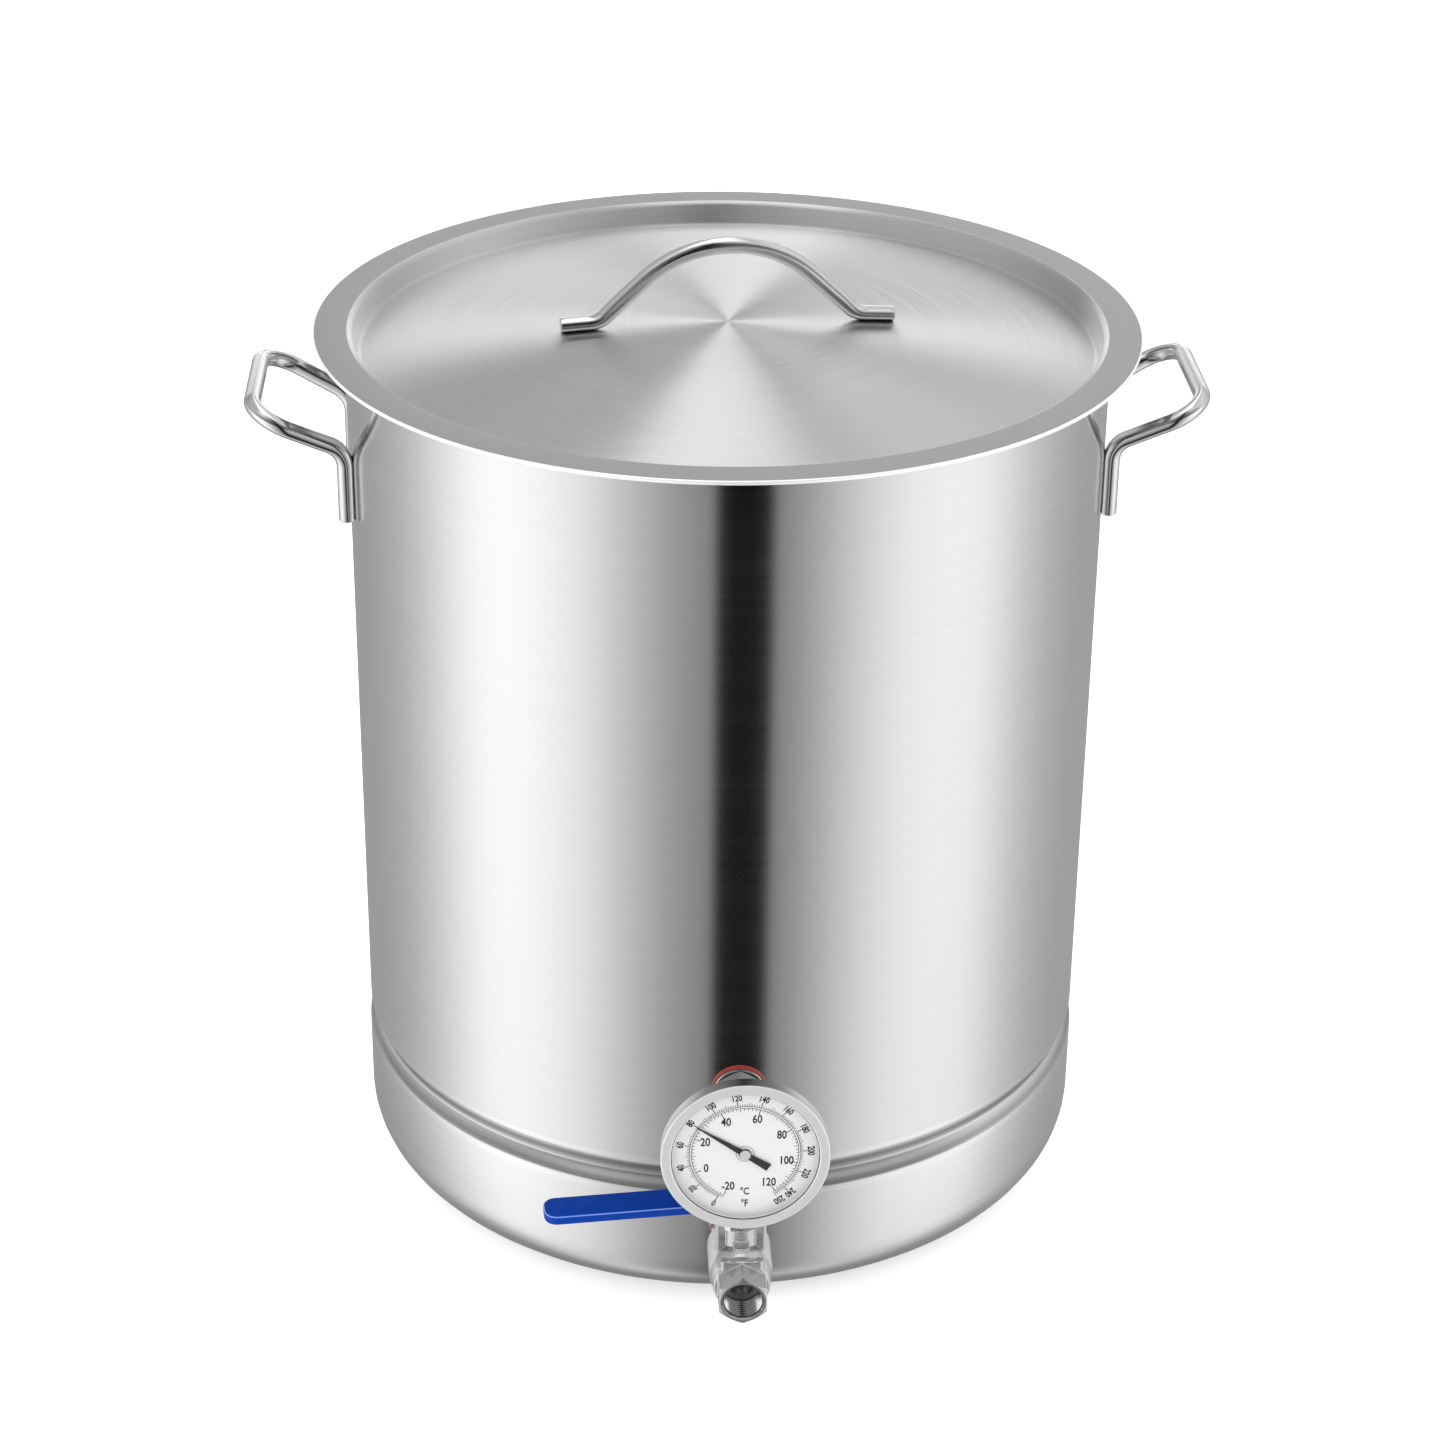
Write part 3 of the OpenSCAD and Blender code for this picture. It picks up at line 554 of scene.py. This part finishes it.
rod_steel = brushed_metal("polished_rod", (0.82, 0.82, 0.82), 0.16, (300, 300, 300), scratch=0.05, tone=0.10,
                          depth=0.000004)
grip_rod, leg_sunk = 4.5, 0.8
leg_y, grip_y, grip_x = 39.3, 49.4, 247.0
foot_z, elbow_z, grip_z = 390.6, 430.0, 453.4
elbow_bend, grip_bend = 14, 18
leg_x = math.sqrt((pot_r + grip_rod - leg_sunk) ** 2 - leg_y ** 2)
wall = (pot_r + 0.05) * MM
for side, name in ((-1, "left"), (1, "right")):
    path = [
        (side * leg_x, -leg_y, foot_z), (side * leg_x, -leg_y, elbow_z), (side * grip_x, -grip_y, grip_z),
        (side * grip_x, grip_y, grip_z), (side * leg_x, leg_y, elbow_z), (side * leg_x, leg_y, foot_z),
    ]
    bm = bent_rod(path, [0, elbow_bend, grip_bend, grip_bend, elbow_bend, 0], grip_rod)
    # What would sink into the wall is pressed out against it.
    for v in bm.verts:
        out = math.hypot(v.co.x, v.co.y)
        if out < wall:
            v.co.x *= wall / out
            v.co.y *= wall / out
    finish(f"side_handle_{name}", bm, "kettle", rod_steel, [f"handle_{name}"], sharp=50)

# ------------------------------------------------------------------ lid
# One spun sheet: a flange with a hemmed edge, a short wall and a panel that rises to its middle.
# The panel is brushed in rings, and the flange is plain and dull.

flange_top, lid_sheet = 485.3, 1.0
panel_z = flange_top - 12.7
panel_r, crown = 191.5, 12.4
panel_edge, wall_foot, wall_head, flange_ring = 186, 193.3, 195.7, 204
hem_x, hem_r = 214.7, 1.3


def crown_z(r):
    """The panel's height at a distance from its middle."""
    return panel_z + crown * (1 - (r / panel_r) ** 2)


def lid_line(drop):
    """The lid's upper face from the middle to the flange, lowered by a drop."""
    line = [(r, crown_z(r) - drop) for r in range(0, panel_edge, 5)]
    # The wall leans outwards, so a lowered line also stands a little further out.
    line += rounded([
        (panel_edge, crown_z(panel_edge) - drop, 0),
        (wall_foot + 0.26 * drop, panel_z - 0.4 - drop, 2.5 + drop),
        (wall_head + 0.97 * drop, flange_top - drop, 3.5 - drop),
        (flange_ring, flange_top - drop, 0),
    ])
    return line


hem = arc(hem_x, flange_top - hem_r, hem_r, range(90, -191, -14))
bm = lathe(lid_line(0) + hem + lid_line(lid_sheet)[::-1], 256)


def ringed(tree, x, y, depth=None, lean=0.0):
    """Coordinates x and y with their distance from the middle as the third.

    lean adds some of the depth to that distance, so that a wall along the axis is ringed too.
    """
    flat, whole = (tree.nodes.new("ShaderNodeCombineXYZ") for _ in range(2))
    for node in (flat, whole):
        link(tree, x, node.inputs["X"])
        link(tree, y, node.inputs["Y"])
    reach = vector_maths(tree, "LENGTH", flat.outputs["Vector"])
    if lean:
        reach = maths(tree, "MULTIPLY_ADD", depth, lean, reach)
    link(tree, reach, whole.inputs["Z"])
    return whole.outputs["Vector"]


def ring_pattern(tree, vector):
    """Rings round the Z axis."""
    x, y = separated(tree, vector)[:2]
    return ringed(tree, x, y)


lid_steel = brushed_metal("ring_brushed_lid", (0.80, 0.80, 0.80), 0.36, (9, 9, 1300), scratch=0.32, tone=0.06,
                          depth=0.00001, anisotropic=1.0, pattern=ring_pattern)
flange_steel = brushed_metal("dull_flange", (0.46, 0.46, 0.46), 0.5, (5, 5, 1200), scratch=0.06, tone=0.05,
                             depth=0.00001, pattern=ring_pattern)
# The hem's edge faces get a brighter, half-metallic steel: a painted highlight along the lid's edge.
hem_painted_highlight_steel = brushed_metal("hem_painted_highlight", (0.92, 0.92, 0.92), 0.2, (5, 5, 1200), scratch=0.04, tone=0.04,
                          depth=0.000003, pattern=ring_pattern, Metallic=0.5)
flange_start, flat_enough = 200.5, 0.93
for face in bm.faces:
    reach = math.hypot(*face.calc_center_median().xy) / MM
    if reach > flange_start:
        face.material_index = 2 if reach > hem_x and abs(face.normal.z) < flat_enough else 1
lid = finish("lid_shell", bm, "lid", lid_steel, ["lid"])
lid.data.materials.append(flange_steel)
lid.data.materials.append(hem_painted_highlight_steel)

# ------------------------------------------------------------------ lid handle
# A polished rod bent like a bell, standing across the lid a few degrees off square.
# Its two feet are pressed flat and spot-welded to the crown.

foot, knob_rod, knob_turn = 88.0, 4.5, math.radians(5)
knee, shoulder, rise = foot - 20, 26, 39.7
foot_bend, top_bend = 14, 60
flattened, widened, press_run = 0.16, 0.12, 10
lift = knob_rod - 0.8
top_z = crown_z(foot - 10) + lift + rise
path = [(-foot, 0, crown_z(foot) + lift), (-knee, 0, crown_z(knee) + lift), (-shoulder, 0, top_z),
        (shoulder, 0, top_z), (knee, 0, crown_z(knee) + lift), (foot, 0, crown_z(foot) + lift)]
bm = bent_rod(path, [0, foot_bend, top_bend, top_bend, foot_bend, 0], knob_rod, edge=0.6)
bmesh.ops.subdivide_edges(bm, edges=[e for e in bm.edges if e.calc_length() > 12 * MM], cuts=6)
for v in bm.verts:
    reach = abs(v.co.x) / MM
    pressed = min(1.0, max(0.0, (reach - knee + 6) / press_run))
    seat = (crown_z(reach) + 0.05) * MM
    middle = seat + (knob_rod - 0.6) * MM
    if pressed > 0:
        v.co.z = middle + (v.co.z - middle) * (1 - flattened * pressed)
        v.co.y *= 1 + widened * pressed
    v.co.z = max(v.co.z, seat)
bmesh.ops.rotate(bm, cent=(0, 0, 0), matrix=Matrix.Rotation(knob_turn, 3, "Z"), verts=bm.verts)
finish("lid_handle_rod", bm, "lid", rod_steel, ["lid_handle"], sharp=50)

# ------------------------------------------------------------------ plain fittings
# Washers, nuts, seals and inner pieces keep the shapes they were designed with.
# Their edges are broken a little, as turned and moulded edges are.

record = frame["record"]
body_of = {node: body for body, members in record["behaviour"]["bodies"].items() for node in members}


def welded_copy(node):
    """A bmesh of a CAD node with its loose triangles joined into faces."""
    bm = bmesh.new()
    bm.from_mesh(frame["nodes"][node].data)
    bmesh.ops.remove_doubles(bm, verts=bm.verts, dist=2e-6)
    bmesh.ops.dissolve_limit(bm, angle_limit=math.radians(0.6), verts=bm.verts, edges=bm.edges)
    return bm


def dressed(node, material, edge=0.25):
    """A piece with a CAD node's shape and softened edges."""
    piece = finish(f"{node}_piece", welded_copy(node), body_of[node], material, [node])
    if edge:
        soften = piece.modifiers.new("softened_edges", "BEVEL")
        soften.width = edge * MM
        soften.segments = 2
        soften.limit_method = "ANGLE"
        soften.angle_limit = math.radians(38)
        soften.harden_normals = True


turned_steel = brushed_metal("turned_steel", (0.76, 0.76, 0.75), 0.2, (90, 2200, 90), scratch=0.10, tone=0.08,
                             depth=0.000006)
for node in ("thermo_washer_outer", "thermo_connector", "thermo_washer_inner", "thermo_lock_nut",
             "valve_washer_outer", "valve_nipple", "valve_washer_inner", "valve_lock_nut", "valve_gland_nut",
             "lever_nut", "lever_spring_washer", "valve_stem", "thermo_stem_tube"):
    dressed(node, turned_steel, 0.2)
dressed("valve_ball", rod_steel, 0.2)

strainer_steel = brushed_metal("strainer_steel", (0.78, 0.78, 0.77), 0.3, (900, 5, 900), scratch=0.08,
                               tone=0.06)
dressed("false_bottom", strainer_steel, 0)


def speckled(name, colour, roughness, scale, spread=0.1, depth=0.00001, relief=0.4, detail=4.0,
             between=None, **settings):
    """A plain finish whose roughness and height vary finely, and its colour between two tones if given."""
    material, tree, shader = principled(name, colour, Roughness=roughness, **settings)
    speck = noise(tree, scale, tree.nodes.new("ShaderNodeTexCoord").outputs["Object"], detail)
    link(tree, remapped(tree, speck, roughness - spread, roughness + spread), shader.inputs["Roughness"])
    bumped(tree, shader, speck, relief, depth)
    if between:
        drift = remapped(tree, speck, 0.0, 1.0, 0.3, 0.7)
        link(tree, mixed(tree, drift, *between), shader.inputs["Base Color"])
    return material


red_silicone = speckled("red_silicone", (0.27, 0.035, 0.025), 0.47, 350, 0.11, 0.00005, 0.3)
for node in ("thermo_seal_outer", "thermo_seal_inner", "valve_seal_outer", "valve_seal_inner"):
    dressed(node, red_silicone, 0.5)
ptfe = speckled("white_ptfe", (0.9, 0.9, 0.88), 0.4, 500)
for node in ("valve_cap_gasket", "valve_seat_inlet", "valve_seat_outlet", "valve_stem_packing",
             "valve_thrust_washer"):
    dressed(node, ptfe, 0.15)
brass = speckled("turned_brass", (0.75, 0.56, 0.26), 0.25, 800, Metallic=1.0)
dressed("thermo_shaft_bush", brass, 0.1)
bimetal = speckled("bimetal_strip", (0.62, 0.52, 0.38), 0.35, 900, Metallic=1.0)
dressed("thermo_bimetal_coil", bimetal, 0)

# ------------------------------------------------------------------ thermometer case, bezel and lens
# A pressed can behind a rolled ring that clamps a flat glass onto the dial.
# Can and ring are satin stainless, brushed round the dial.

bezel_front, bezel_depth = 264.2, 8.0
dial_front = bezel_front - 5.0
case_back, lens_back, case_r, case_sheet = bezel_front - 15.5, bezel_front - 2.9, 39.5, 1.0
bezel_r, sight_r = 42.8, 37.4


def front_ring_pattern(centre_z, lean=1.0):
    """Rings round an axis that faces the front at a height, with a lean as in ringed."""
    def pattern(tree, vector):
        shift = tree.nodes.new("ShaderNodeMapping")
        socket(shift, "Location", (0, 0, -centre_z * MM))
        link(tree, vector, shift.inputs["Vector"])
        x, y, z = separated(tree, shift.outputs["Vector"])
        return ringed(tree, x, z, y, lean)
    return pattern


bezel_steel = brushed_metal("satin_bezel", (0.69, 0.69, 0.69), 0.42, (25, 25, 2600), scratch=0.10, tone=0.05,
                            depth=0.000005, pattern=front_ring_pattern(thermo_z), Metallic=0.5)
case_steel = brushed_metal("satin_case", (0.60, 0.60, 0.59), 0.24, (25, 25, 2200), scratch=0.12, tone=0.08,
                           depth=0.000006, pattern=front_ring_pattern(thermo_z))

stem_hole, back_ring, back_flat = 3.3, 16, 28
case_line = [(r, case_back) for r in (stem_hole, back_ring)]
case_line += rounded([(back_flat, case_back, 0), (case_r, case_back, 5.0), (case_r, lens_back - 0.05, 0)])
bm = lathe(case_line, 128)
case = finish("thermometer_can", at_front(bm, thermo_z), "kettle", case_steel, ["thermo_case"],
              sharp=40)
wall_of_can = case.modifiers.new("sheet", "SOLIDIFY")
wall_of_can.thickness = case_sheet * MM
wall_of_can.offset = -1

lip = bezel_front - 0.92
bezel_line = rounded([
    (case_r + 0.1, lip, 0), (case_r + 0.1, bezel_front - bezel_depth, 0.2),
    (bezel_r - 0.2, bezel_front - bezel_depth, 0.8), (bezel_r - 0.1, bezel_front - 2.5, 0.5),
    (bezel_r, bezel_front, 1.1), (sight_r + 0.6, bezel_front - 0.2, 0.3),
    (sight_r, bezel_front - 0.6, 0.1), (sight_r, lip, 0), (case_r + 0.1, lip, 0),
])
bm = lathe(bezel_line, 160)
# The ring's outer side gets the darker can steel: painted shade along the bezel's side.
for face in bm.faces:
    if abs(face.normal.z) < 0.5 and math.hypot(*face.calc_center_median().xy) > (bezel_r - 0.6) * MM:
        face.material_index = 1
bezel = finish("thermometer_bezel", at_front(bm, thermo_z), "kettle", bezel_steel,
               ["thermo_bezel"], sharp=30)
bezel.data.materials.append(case_steel)

black_rubber = speckled("black_rubber", (0.02, 0.02, 0.02), 0.5, 700)
gasket_back, gasket_in = lens_back + 1.53, sight_r - 0.35
gasket_front = gasket_back + 0.42
bm = lathe(rounded([
    (gasket_in, gasket_back, 0), (case_r, gasket_back, 0.1), (case_r, gasket_front, 0.1),
    (gasket_in, gasket_front, 0.15), (gasket_in, gasket_back, 0),
]), 128)
finish("thermometer_gasket", at_front(bm, thermo_z), "kettle", black_rubber,
       ["thermo_lens_gasket"])

lens_glass, tree, shader = principled("clear_glass", (1, 1, 1), Roughness=0.01, Transmission_Weight=1.0,
                                      IOR=1.45)
smear = noise(tree, 60.0, tree.nodes.new("ShaderNodeTexCoord").outputs["Object"])
link(tree, remapped(tree, smear, 0.0, 0.03), shader.inputs["Roughness"])
# Light passes straight through the glass to the dial.
clear = tree.nodes.new("ShaderNodeBsdfTransparent")
rays = tree.nodes.new("ShaderNodeLightPath").outputs
through = tree.nodes.new("ShaderNodeMixShader")
link(tree, maths(tree, "MAXIMUM", rays["Is Shadow Ray"], rays["Is Diffuse Ray"]), through.inputs["Fac"])
link(tree, shader.outputs["BSDF"], through.inputs[1])
link(tree, clear.outputs["BSDF"], through.inputs[2])
link(tree, through.outputs["Shader"], tree.nodes["Material Output"].inputs["Surface"])
bm = disc(lens_back, lens_back + 1.5, case_r - 0.05, 0.3, 0.3, 128)
finish("thermometer_lens", at_front(bm, thermo_z), "kettle", lens_glass, ["thermo_lens"],
       sharp=30)

# ------------------------------------------------------------------ dial
# A white plate under the glass, with a thin white ring that keeps the two apart.
# It is printed with a Fahrenheit scale outside two thin rings and a Celsius scale inside them.

dial_white = speckled("dial_white", (0.64, 0.64, 0.635), 0.45, 900, 0.05, 0.000004)
dressed("thermo_dial", dial_white, 0.1)
dressed("thermo_dial_spacer", dial_white, 0.1)
dial_ink = speckled("dial_ink", (0.015, 0.015, 0.018), 0.5, 900, 0.08, 0.000002)
scale_r, scale_end = 27.9, 250
outer_figures_r, inner_figures_r = 32.9, 21.2
bold, thin = 0.44, 0.3


def dial_angle(fahrenheit):
    """Clockwise angle from twelve o'clock, in radians."""
    return math.radians(-152 + 1.2 * fahrenheit)


def in_fahrenheit(celsius):
    """The same temperature on the outer scale."""
    return celsius * 1.8 + 32


ink = bmesh.new()


def printed_tick(angle, inner, outer, width):
    """A short bar of ink pointing at the dial's middle."""
    made = bmesh.ops.create_grid(ink, x_segments=1, y_segments=1, size=0.5)["verts"]
    bmesh.ops.scale(ink, vec=(width, outer - inner, 1), verts=made)
    bmesh.ops.translate(ink, vec=(0, (inner + outer) / 2, 0), verts=made)
    bmesh.ops.rotate(ink, cent=(0, 0, 0), matrix=Matrix.Rotation(-angle, 3, "Z"), verts=made)


def printed_ring(radius, width, start, end):
    """An arc of ink between two clockwise angles."""
    a = ink.verts.new((0, radius - width / 2, 0))
    b = ink.verts.new((0, radius + width / 2, 0))
    edge = ink.edges.new((a, b))
    bmesh.ops.rotate(ink, cent=(0, 0, 0), matrix=Matrix.Rotation(-start, 3, "Z"), verts=[a, b])
    bmesh.ops.spin(ink, geom=[a, b, edge], cent=(0, 0, 0), axis=(0, 0, -1), dvec=(0, 0, 0), angle=end - start,
                   steps=120, use_merge=False, use_normal_flip=False, use_duplicate=False)


def printed_text(words, size, x, y, angle=0.0, weight=0.022):
    """Narrow letters of ink centred on x and y. weight thickens them, as a part of their size."""
    curve = bpy.data.curves.new("print", "FONT")
    curve.body = words
    curve.size = size
    curve.align_x = "CENTER"
    curve.align_y = "CENTER"
    curve.resolution_u = 3
    curve.offset = weight * size
    letters = bpy.data.objects.new("print", curve)
    scene.collection.objects.link(letters)
    bpy.context.view_layer.update()
    mesh = bpy.data.meshes.new_from_object(letters.evaluated_get(bpy.context.evaluated_depsgraph_get()))
    start = len(ink.verts)
    ink.from_mesh(mesh)
    ink.verts.ensure_lookup_table()
    fresh = ink.verts[start:]
    bmesh.ops.scale(ink, vec=(0.74, 1, 1), verts=fresh)
    bmesh.ops.rotate(ink, cent=(0, 0, 0), matrix=Matrix.Rotation(-angle, 3, "Z"), verts=fresh)
    bmesh.ops.translate(ink, vec=(x, y, 0), verts=fresh)
    bpy.data.objects.remove(letters)
    bpy.data.curves.remove(curve)
    bpy.data.meshes.remove(mesh)


for f in range(0, scale_end + 1, 2):
    reach = 3.2 if f % 20 == 0 else 2.3 if f % 10 == 0 else 1.4
    printed_tick(dial_angle(f), scale_r, scale_r + reach, bold if f % 20 == 0 else thin)
for c in range(-20, 122, 2):
    if in_fahrenheit(c) <= scale_end:
        reach = 3.0 if c % 20 == 0 else 2.2 if c % 10 == 0 else 1.3
        width = bold if c % 20 == 0 else thin
        printed_tick(dial_angle(in_fahrenheit(c)), scale_r - 1 - reach, scale_r - 1, width)
printed_ring(scale_r, 0.28, dial_angle(-4), dial_angle(scale_end))
printed_ring(scale_r - 1, 0.28, dial_angle(-4), dial_angle(scale_end))
# A thin dark ring round the hub is printed in: a painted shadow line round the hub.
printed_ring(4.5, 0.22, 0, math.tau)
for f in (*range(0, 241, 20), scale_end):
    a = dial_angle(f)
    printed_text(str(f), 4.9, outer_figures_r * math.sin(a), outer_figures_r * math.cos(a), a, weight=0.03)
for c in range(-20, 121, 20):
    a = dial_angle(in_fahrenheit(c))
    printed_text(str(c), 6.7, inner_figures_r * math.sin(a), (inner_figures_r - 0.2) * math.cos(a))
printed_text("°C", 5.8, 0, -22.6)
printed_text("°F", 5.8, 0, -29.8)
bmesh.ops.scale(ink, vec=(MM, MM, MM), verts=ink.verts)
bmesh.ops.translate(ink, vec=(0, 0, (dial_front + 0.06) * MM), verts=ink.verts)
bmesh.ops.recalc_face_normals(ink, faces=ink.faces)
finish("dial_print", at_front(ink, thermo_z), "kettle", dial_ink, [])

# ------------------------------------------------------------------ pointer
# A thin black pointer with a broad tail, painted all over.
# A turned cap holds it on its shaft, which comes through the dial from the coil in the stem.

pointer_paint = speckled("pointer_paint", (0.03, 0.03, 0.035), 0.42, 600)
dressed("pointer", pointer_paint, 0.05)
hub_steel = speckled("hub_steel", (0.62, 0.62, 0.62), 0.35, 700, Metallic=0.35)
dressed("pointer_hub", hub_steel, 0.15)
dressed("pointer_shaft", hub_steel, 0.1)

# ------------------------------------------------------------------ valve body
# An investment casting, tumbled smooth: a barrel, a stem boss with its stops and a hexagonal mouth.
# It is bored for the ball from behind, and the mouth is tapped with a half-inch pipe thread.

stem_y, mouth_y = 228.8, 263.6
chamber_back, chamber_front, chamber_r, bore_r = 205.0, 239.8, 12.5, 6.5
tapped_back, tapped_front, tapped_r = 248.6, 262.6, 10.3
past_mouth = 264.4
stud_r, stud_x, stud_y, stud_z = 1.7, 6.9, 247.7, valve_z + 13.2


def block(low, high, bevel=0.0):
    """A box between two corners in millimetres."""
    bm = bmesh.new()
    bmesh.ops.create_cube(bm, size=1.0)
    bmesh.ops.scale(bm, vec=[(h - l) * MM for l, h in zip(low, high)], verts=bm.verts)
    bmesh.ops.translate(bm, vec=[(h + l) / 2 * MM for l, h in zip(low, high)], verts=bm.verts)
    if bevel:
        bmesh.ops.bevel(bm, geom=bm.edges[:], offset=bevel * MM, offset_type="OFFSET", segments=3,
                        profile=0.5, affect="EDGES", material=-1)
    return bm


def joined(*shapes):
    """Several closed shapes in one bmesh."""
    whole = bmesh.new()
    for shape in shapes:
        mesh = bpy.data.meshes.new("shape")
        shape.to_mesh(mesh)
        shape.free()
        whole.from_mesh(mesh)
        bpy.data.meshes.remove(mesh)
    return whole


collar = at_front(disc(245.6, 249.8, 14.9, 1.6, 1.4), valve_z)
shoulder_ring = at_front(disc(236.4, 240.2, 15.9, 1.2, 1.2), valve_z)
tab = block((-4.2, -(stem_y + 11.0), valve_z + 16.2), (4.2, -(stem_y + 8.0), valve_z + 19.8), 0.5)
studs = []
for side in (-1, 1):
    stud = bmesh.new()
    bmesh.ops.create_uvsphere(stud, u_segments=24, v_segments=12, radius=stud_r * MM)
    bmesh.ops.translate(stud, vec=(side * stud_x * MM, -stud_y * MM, stud_z * MM), verts=stud.verts)
    studs.append(stud)
casting = loose("casting", joined(welded_copy("valve_body"), collar, shoulder_ring, tab, *studs))
skin = casting.modifiers.new("skin", "REMESH")
skin.mode = "VOXEL"
skin.voxel_size = 0.34 * MM
bm = evaluated(casting)
for _ in range(2):
    bmesh.ops.smooth_vert(bm, verts=bm.verts, factor=0.5, use_axis_x=True, use_axis_y=True, use_axis_z=True)
bores = lathe([
    (0, chamber_back), (chamber_r, chamber_back), (chamber_r, chamber_front), (bore_r, chamber_front),
    (bore_r, tapped_back - 0.2), (tapped_r, tapped_back), (tapped_r, tapped_front),
    (tapped_r + 1.1, past_mouth), (0, past_mouth),
], 96)
bm = cut_away(bm, at_front(bores, valve_z))
# The hexagon's corners are turned off at the mouth.
turned_in, turned_out = 11.8, 15.6
turned_off = lathe([
    (turned_in, past_mouth), (turned_in, mouth_y), (turned_out, mouth_y - 2.2), (turned_out, past_mouth),
    (turned_in, past_mouth),
], 96)
bm = cut_away(bm, at_front(turned_off, valve_z))
cast_steel = brushed_metal("cast_steel", (0.62, 0.62, 0.615), 0.24, (260, 260, 260), scratch=0.10, tone=0.22,
                           depth=0.00003, Metallic=0.86)
finish("valve_casting", bm, "kettle", cast_steel, ["valve_body"], sharp=55)
dressed("valve_end_cap", cast_steel, 0.4)

pitch, crest_r, root_r = 1.814, 9.3, 10.29
turns, steps = 7, 72
thread = bmesh.new()
verts, edges = profile_edges(thread, [
    (root_r, 0), (root_r, 0.2), (crest_r, 0.83), (crest_r, 1.0), (root_r, pitch),
])
bmesh.ops.spin(thread, geom=verts + edges, cent=(0, 0, 0), axis=(0, 0, 1), dvec=(0, 0, pitch * MM / steps),
               angle=math.tau * turns, steps=steps * turns, use_merge=False, use_normal_flip=False,
               use_duplicate=False)
bmesh.ops.remove_doubles(thread, verts=thread.verts, dist=2e-6)
bmesh.ops.translate(thread, vec=(0, 0, (tapped_back - 0.4) * MM), verts=thread.verts)
# The thread's faces look inwards, at the bore.
for face in thread.faces:
    face.normal_update()
    centre = face.calc_center_median()
    if face.normal.x * centre.x + face.normal.y * centre.y > 0:
        face.normal_flip()


def root_shade(tree, vector):
    """Painted shade in the thread's roots: dark at the roots and bright at the crests, by distance from the
    bore's axis.
    """
    reach = separated(tree, front_ring_pattern(valve_z, lean=0.0)(tree, vector))[2]
    return remapped(tree, reach, 1.0, 0.03, (crest_r + 0.15) * MM, (root_r - 0.15) * MM)


# The thread's colour carries the painted shade in its roots.
thread_steel = brushed_metal("cut_thread", (0.82, 0.82, 0.82), 0.2, (60, 1500, 60), scratch=0.06, tone=0.05,
                             depth=0.000004, shade=root_shade)
finish("outlet_thread", at_front(thread, valve_z), "kettle", thread_steel, [], sharp=40)

# ------------------------------------------------------------------ lever
# A stamped stainless plate with a stop tab, cranked up to clear the casting.
# Its arm is dipped in blue vinyl, which makes a thick sleeve with soft edges.

dressed("lever_plate", turned_steel, 0.3)

arm_z = valve_z + 40.0
sleeve_in, sleeve_out, sleeve_half = 26.5, 102, 9
tip_round, edge_round = 6.5, 0.9
lever_turn = math.radians(186)


def rounded_edges(bm, edges, radius, segments):
    """Rounds some edges of a shape by a radius in millimetres."""
    bmesh.ops.bevel(bm, geom=edges, offset=radius * MM, offset_type="OFFSET", segments=segments, profile=0.5,
                    affect="EDGES", material=-1)


sleeve = block((sleeve_in, -sleeve_half, arm_z - 1.4), (sleeve_out, sleeve_half, arm_z + 3.6))
tip = [e for e in sleeve.edges if all(v.co.x > (sleeve_out - 1) * MM for v in e.verts)
       and abs(e.verts[0].co.z - e.verts[1].co.z) > MM]
rounded_edges(sleeve, tip, tip_round, 5)
rounded_edges(sleeve, [e for e in sleeve.edges if e.calc_face_angle(0) > math.radians(40)], edge_round, 4)
# The plate's arm lies in a pocket, open towards the stem.
sleeve = cut_away(sleeve, block((20, -7.05, arm_z - 0.05), (96, 7.05, arm_z + 2.25)))
bmesh.ops.rotate(sleeve, cent=(0, 0, 0), matrix=Matrix.Rotation(lever_turn, 3, "Z"), verts=sleeve.verts)
bmesh.ops.translate(sleeve, vec=(0, -stem_y * MM, 0), verts=sleeve.verts)

dark_blue, light_blue = (0.001, 0.030, 0.235, 1), (0.002, 0.040, 0.285, 1)
blue_vinyl = speckled("blue_vinyl", dark_blue[:3], 0.33, 160, 0.07, 0.0001, 0.25, 5.0,
                      (dark_blue, light_blue), Specular_IOR_Level=0.08)
# The upward-facing rounded edges along the top get a paler blue: a painted highlight.
blue_painted_highlight = speckled("painted_highlight_blue", (0.13, 0.22, 0.60), 0.35, 300)
for face in sleeve.faces:
    face.normal_update()
    if 0.45 < face.normal.z < 0.93:
        face.material_index = 1
grip = finish("lever_grip", sleeve, "lever", blue_vinyl, ["lever_sleeve"], sharp=40)
grip.data.materials.append(blue_painted_highlight)

# The small front fittings are left out of mirrored light, so that the wall behind them stays clean.
for piece in scene.objects:
    if piece.name.startswith(("thermo", "dial", "pointer", "valve_seal", "lever")):
        piece.visible_glossy = False
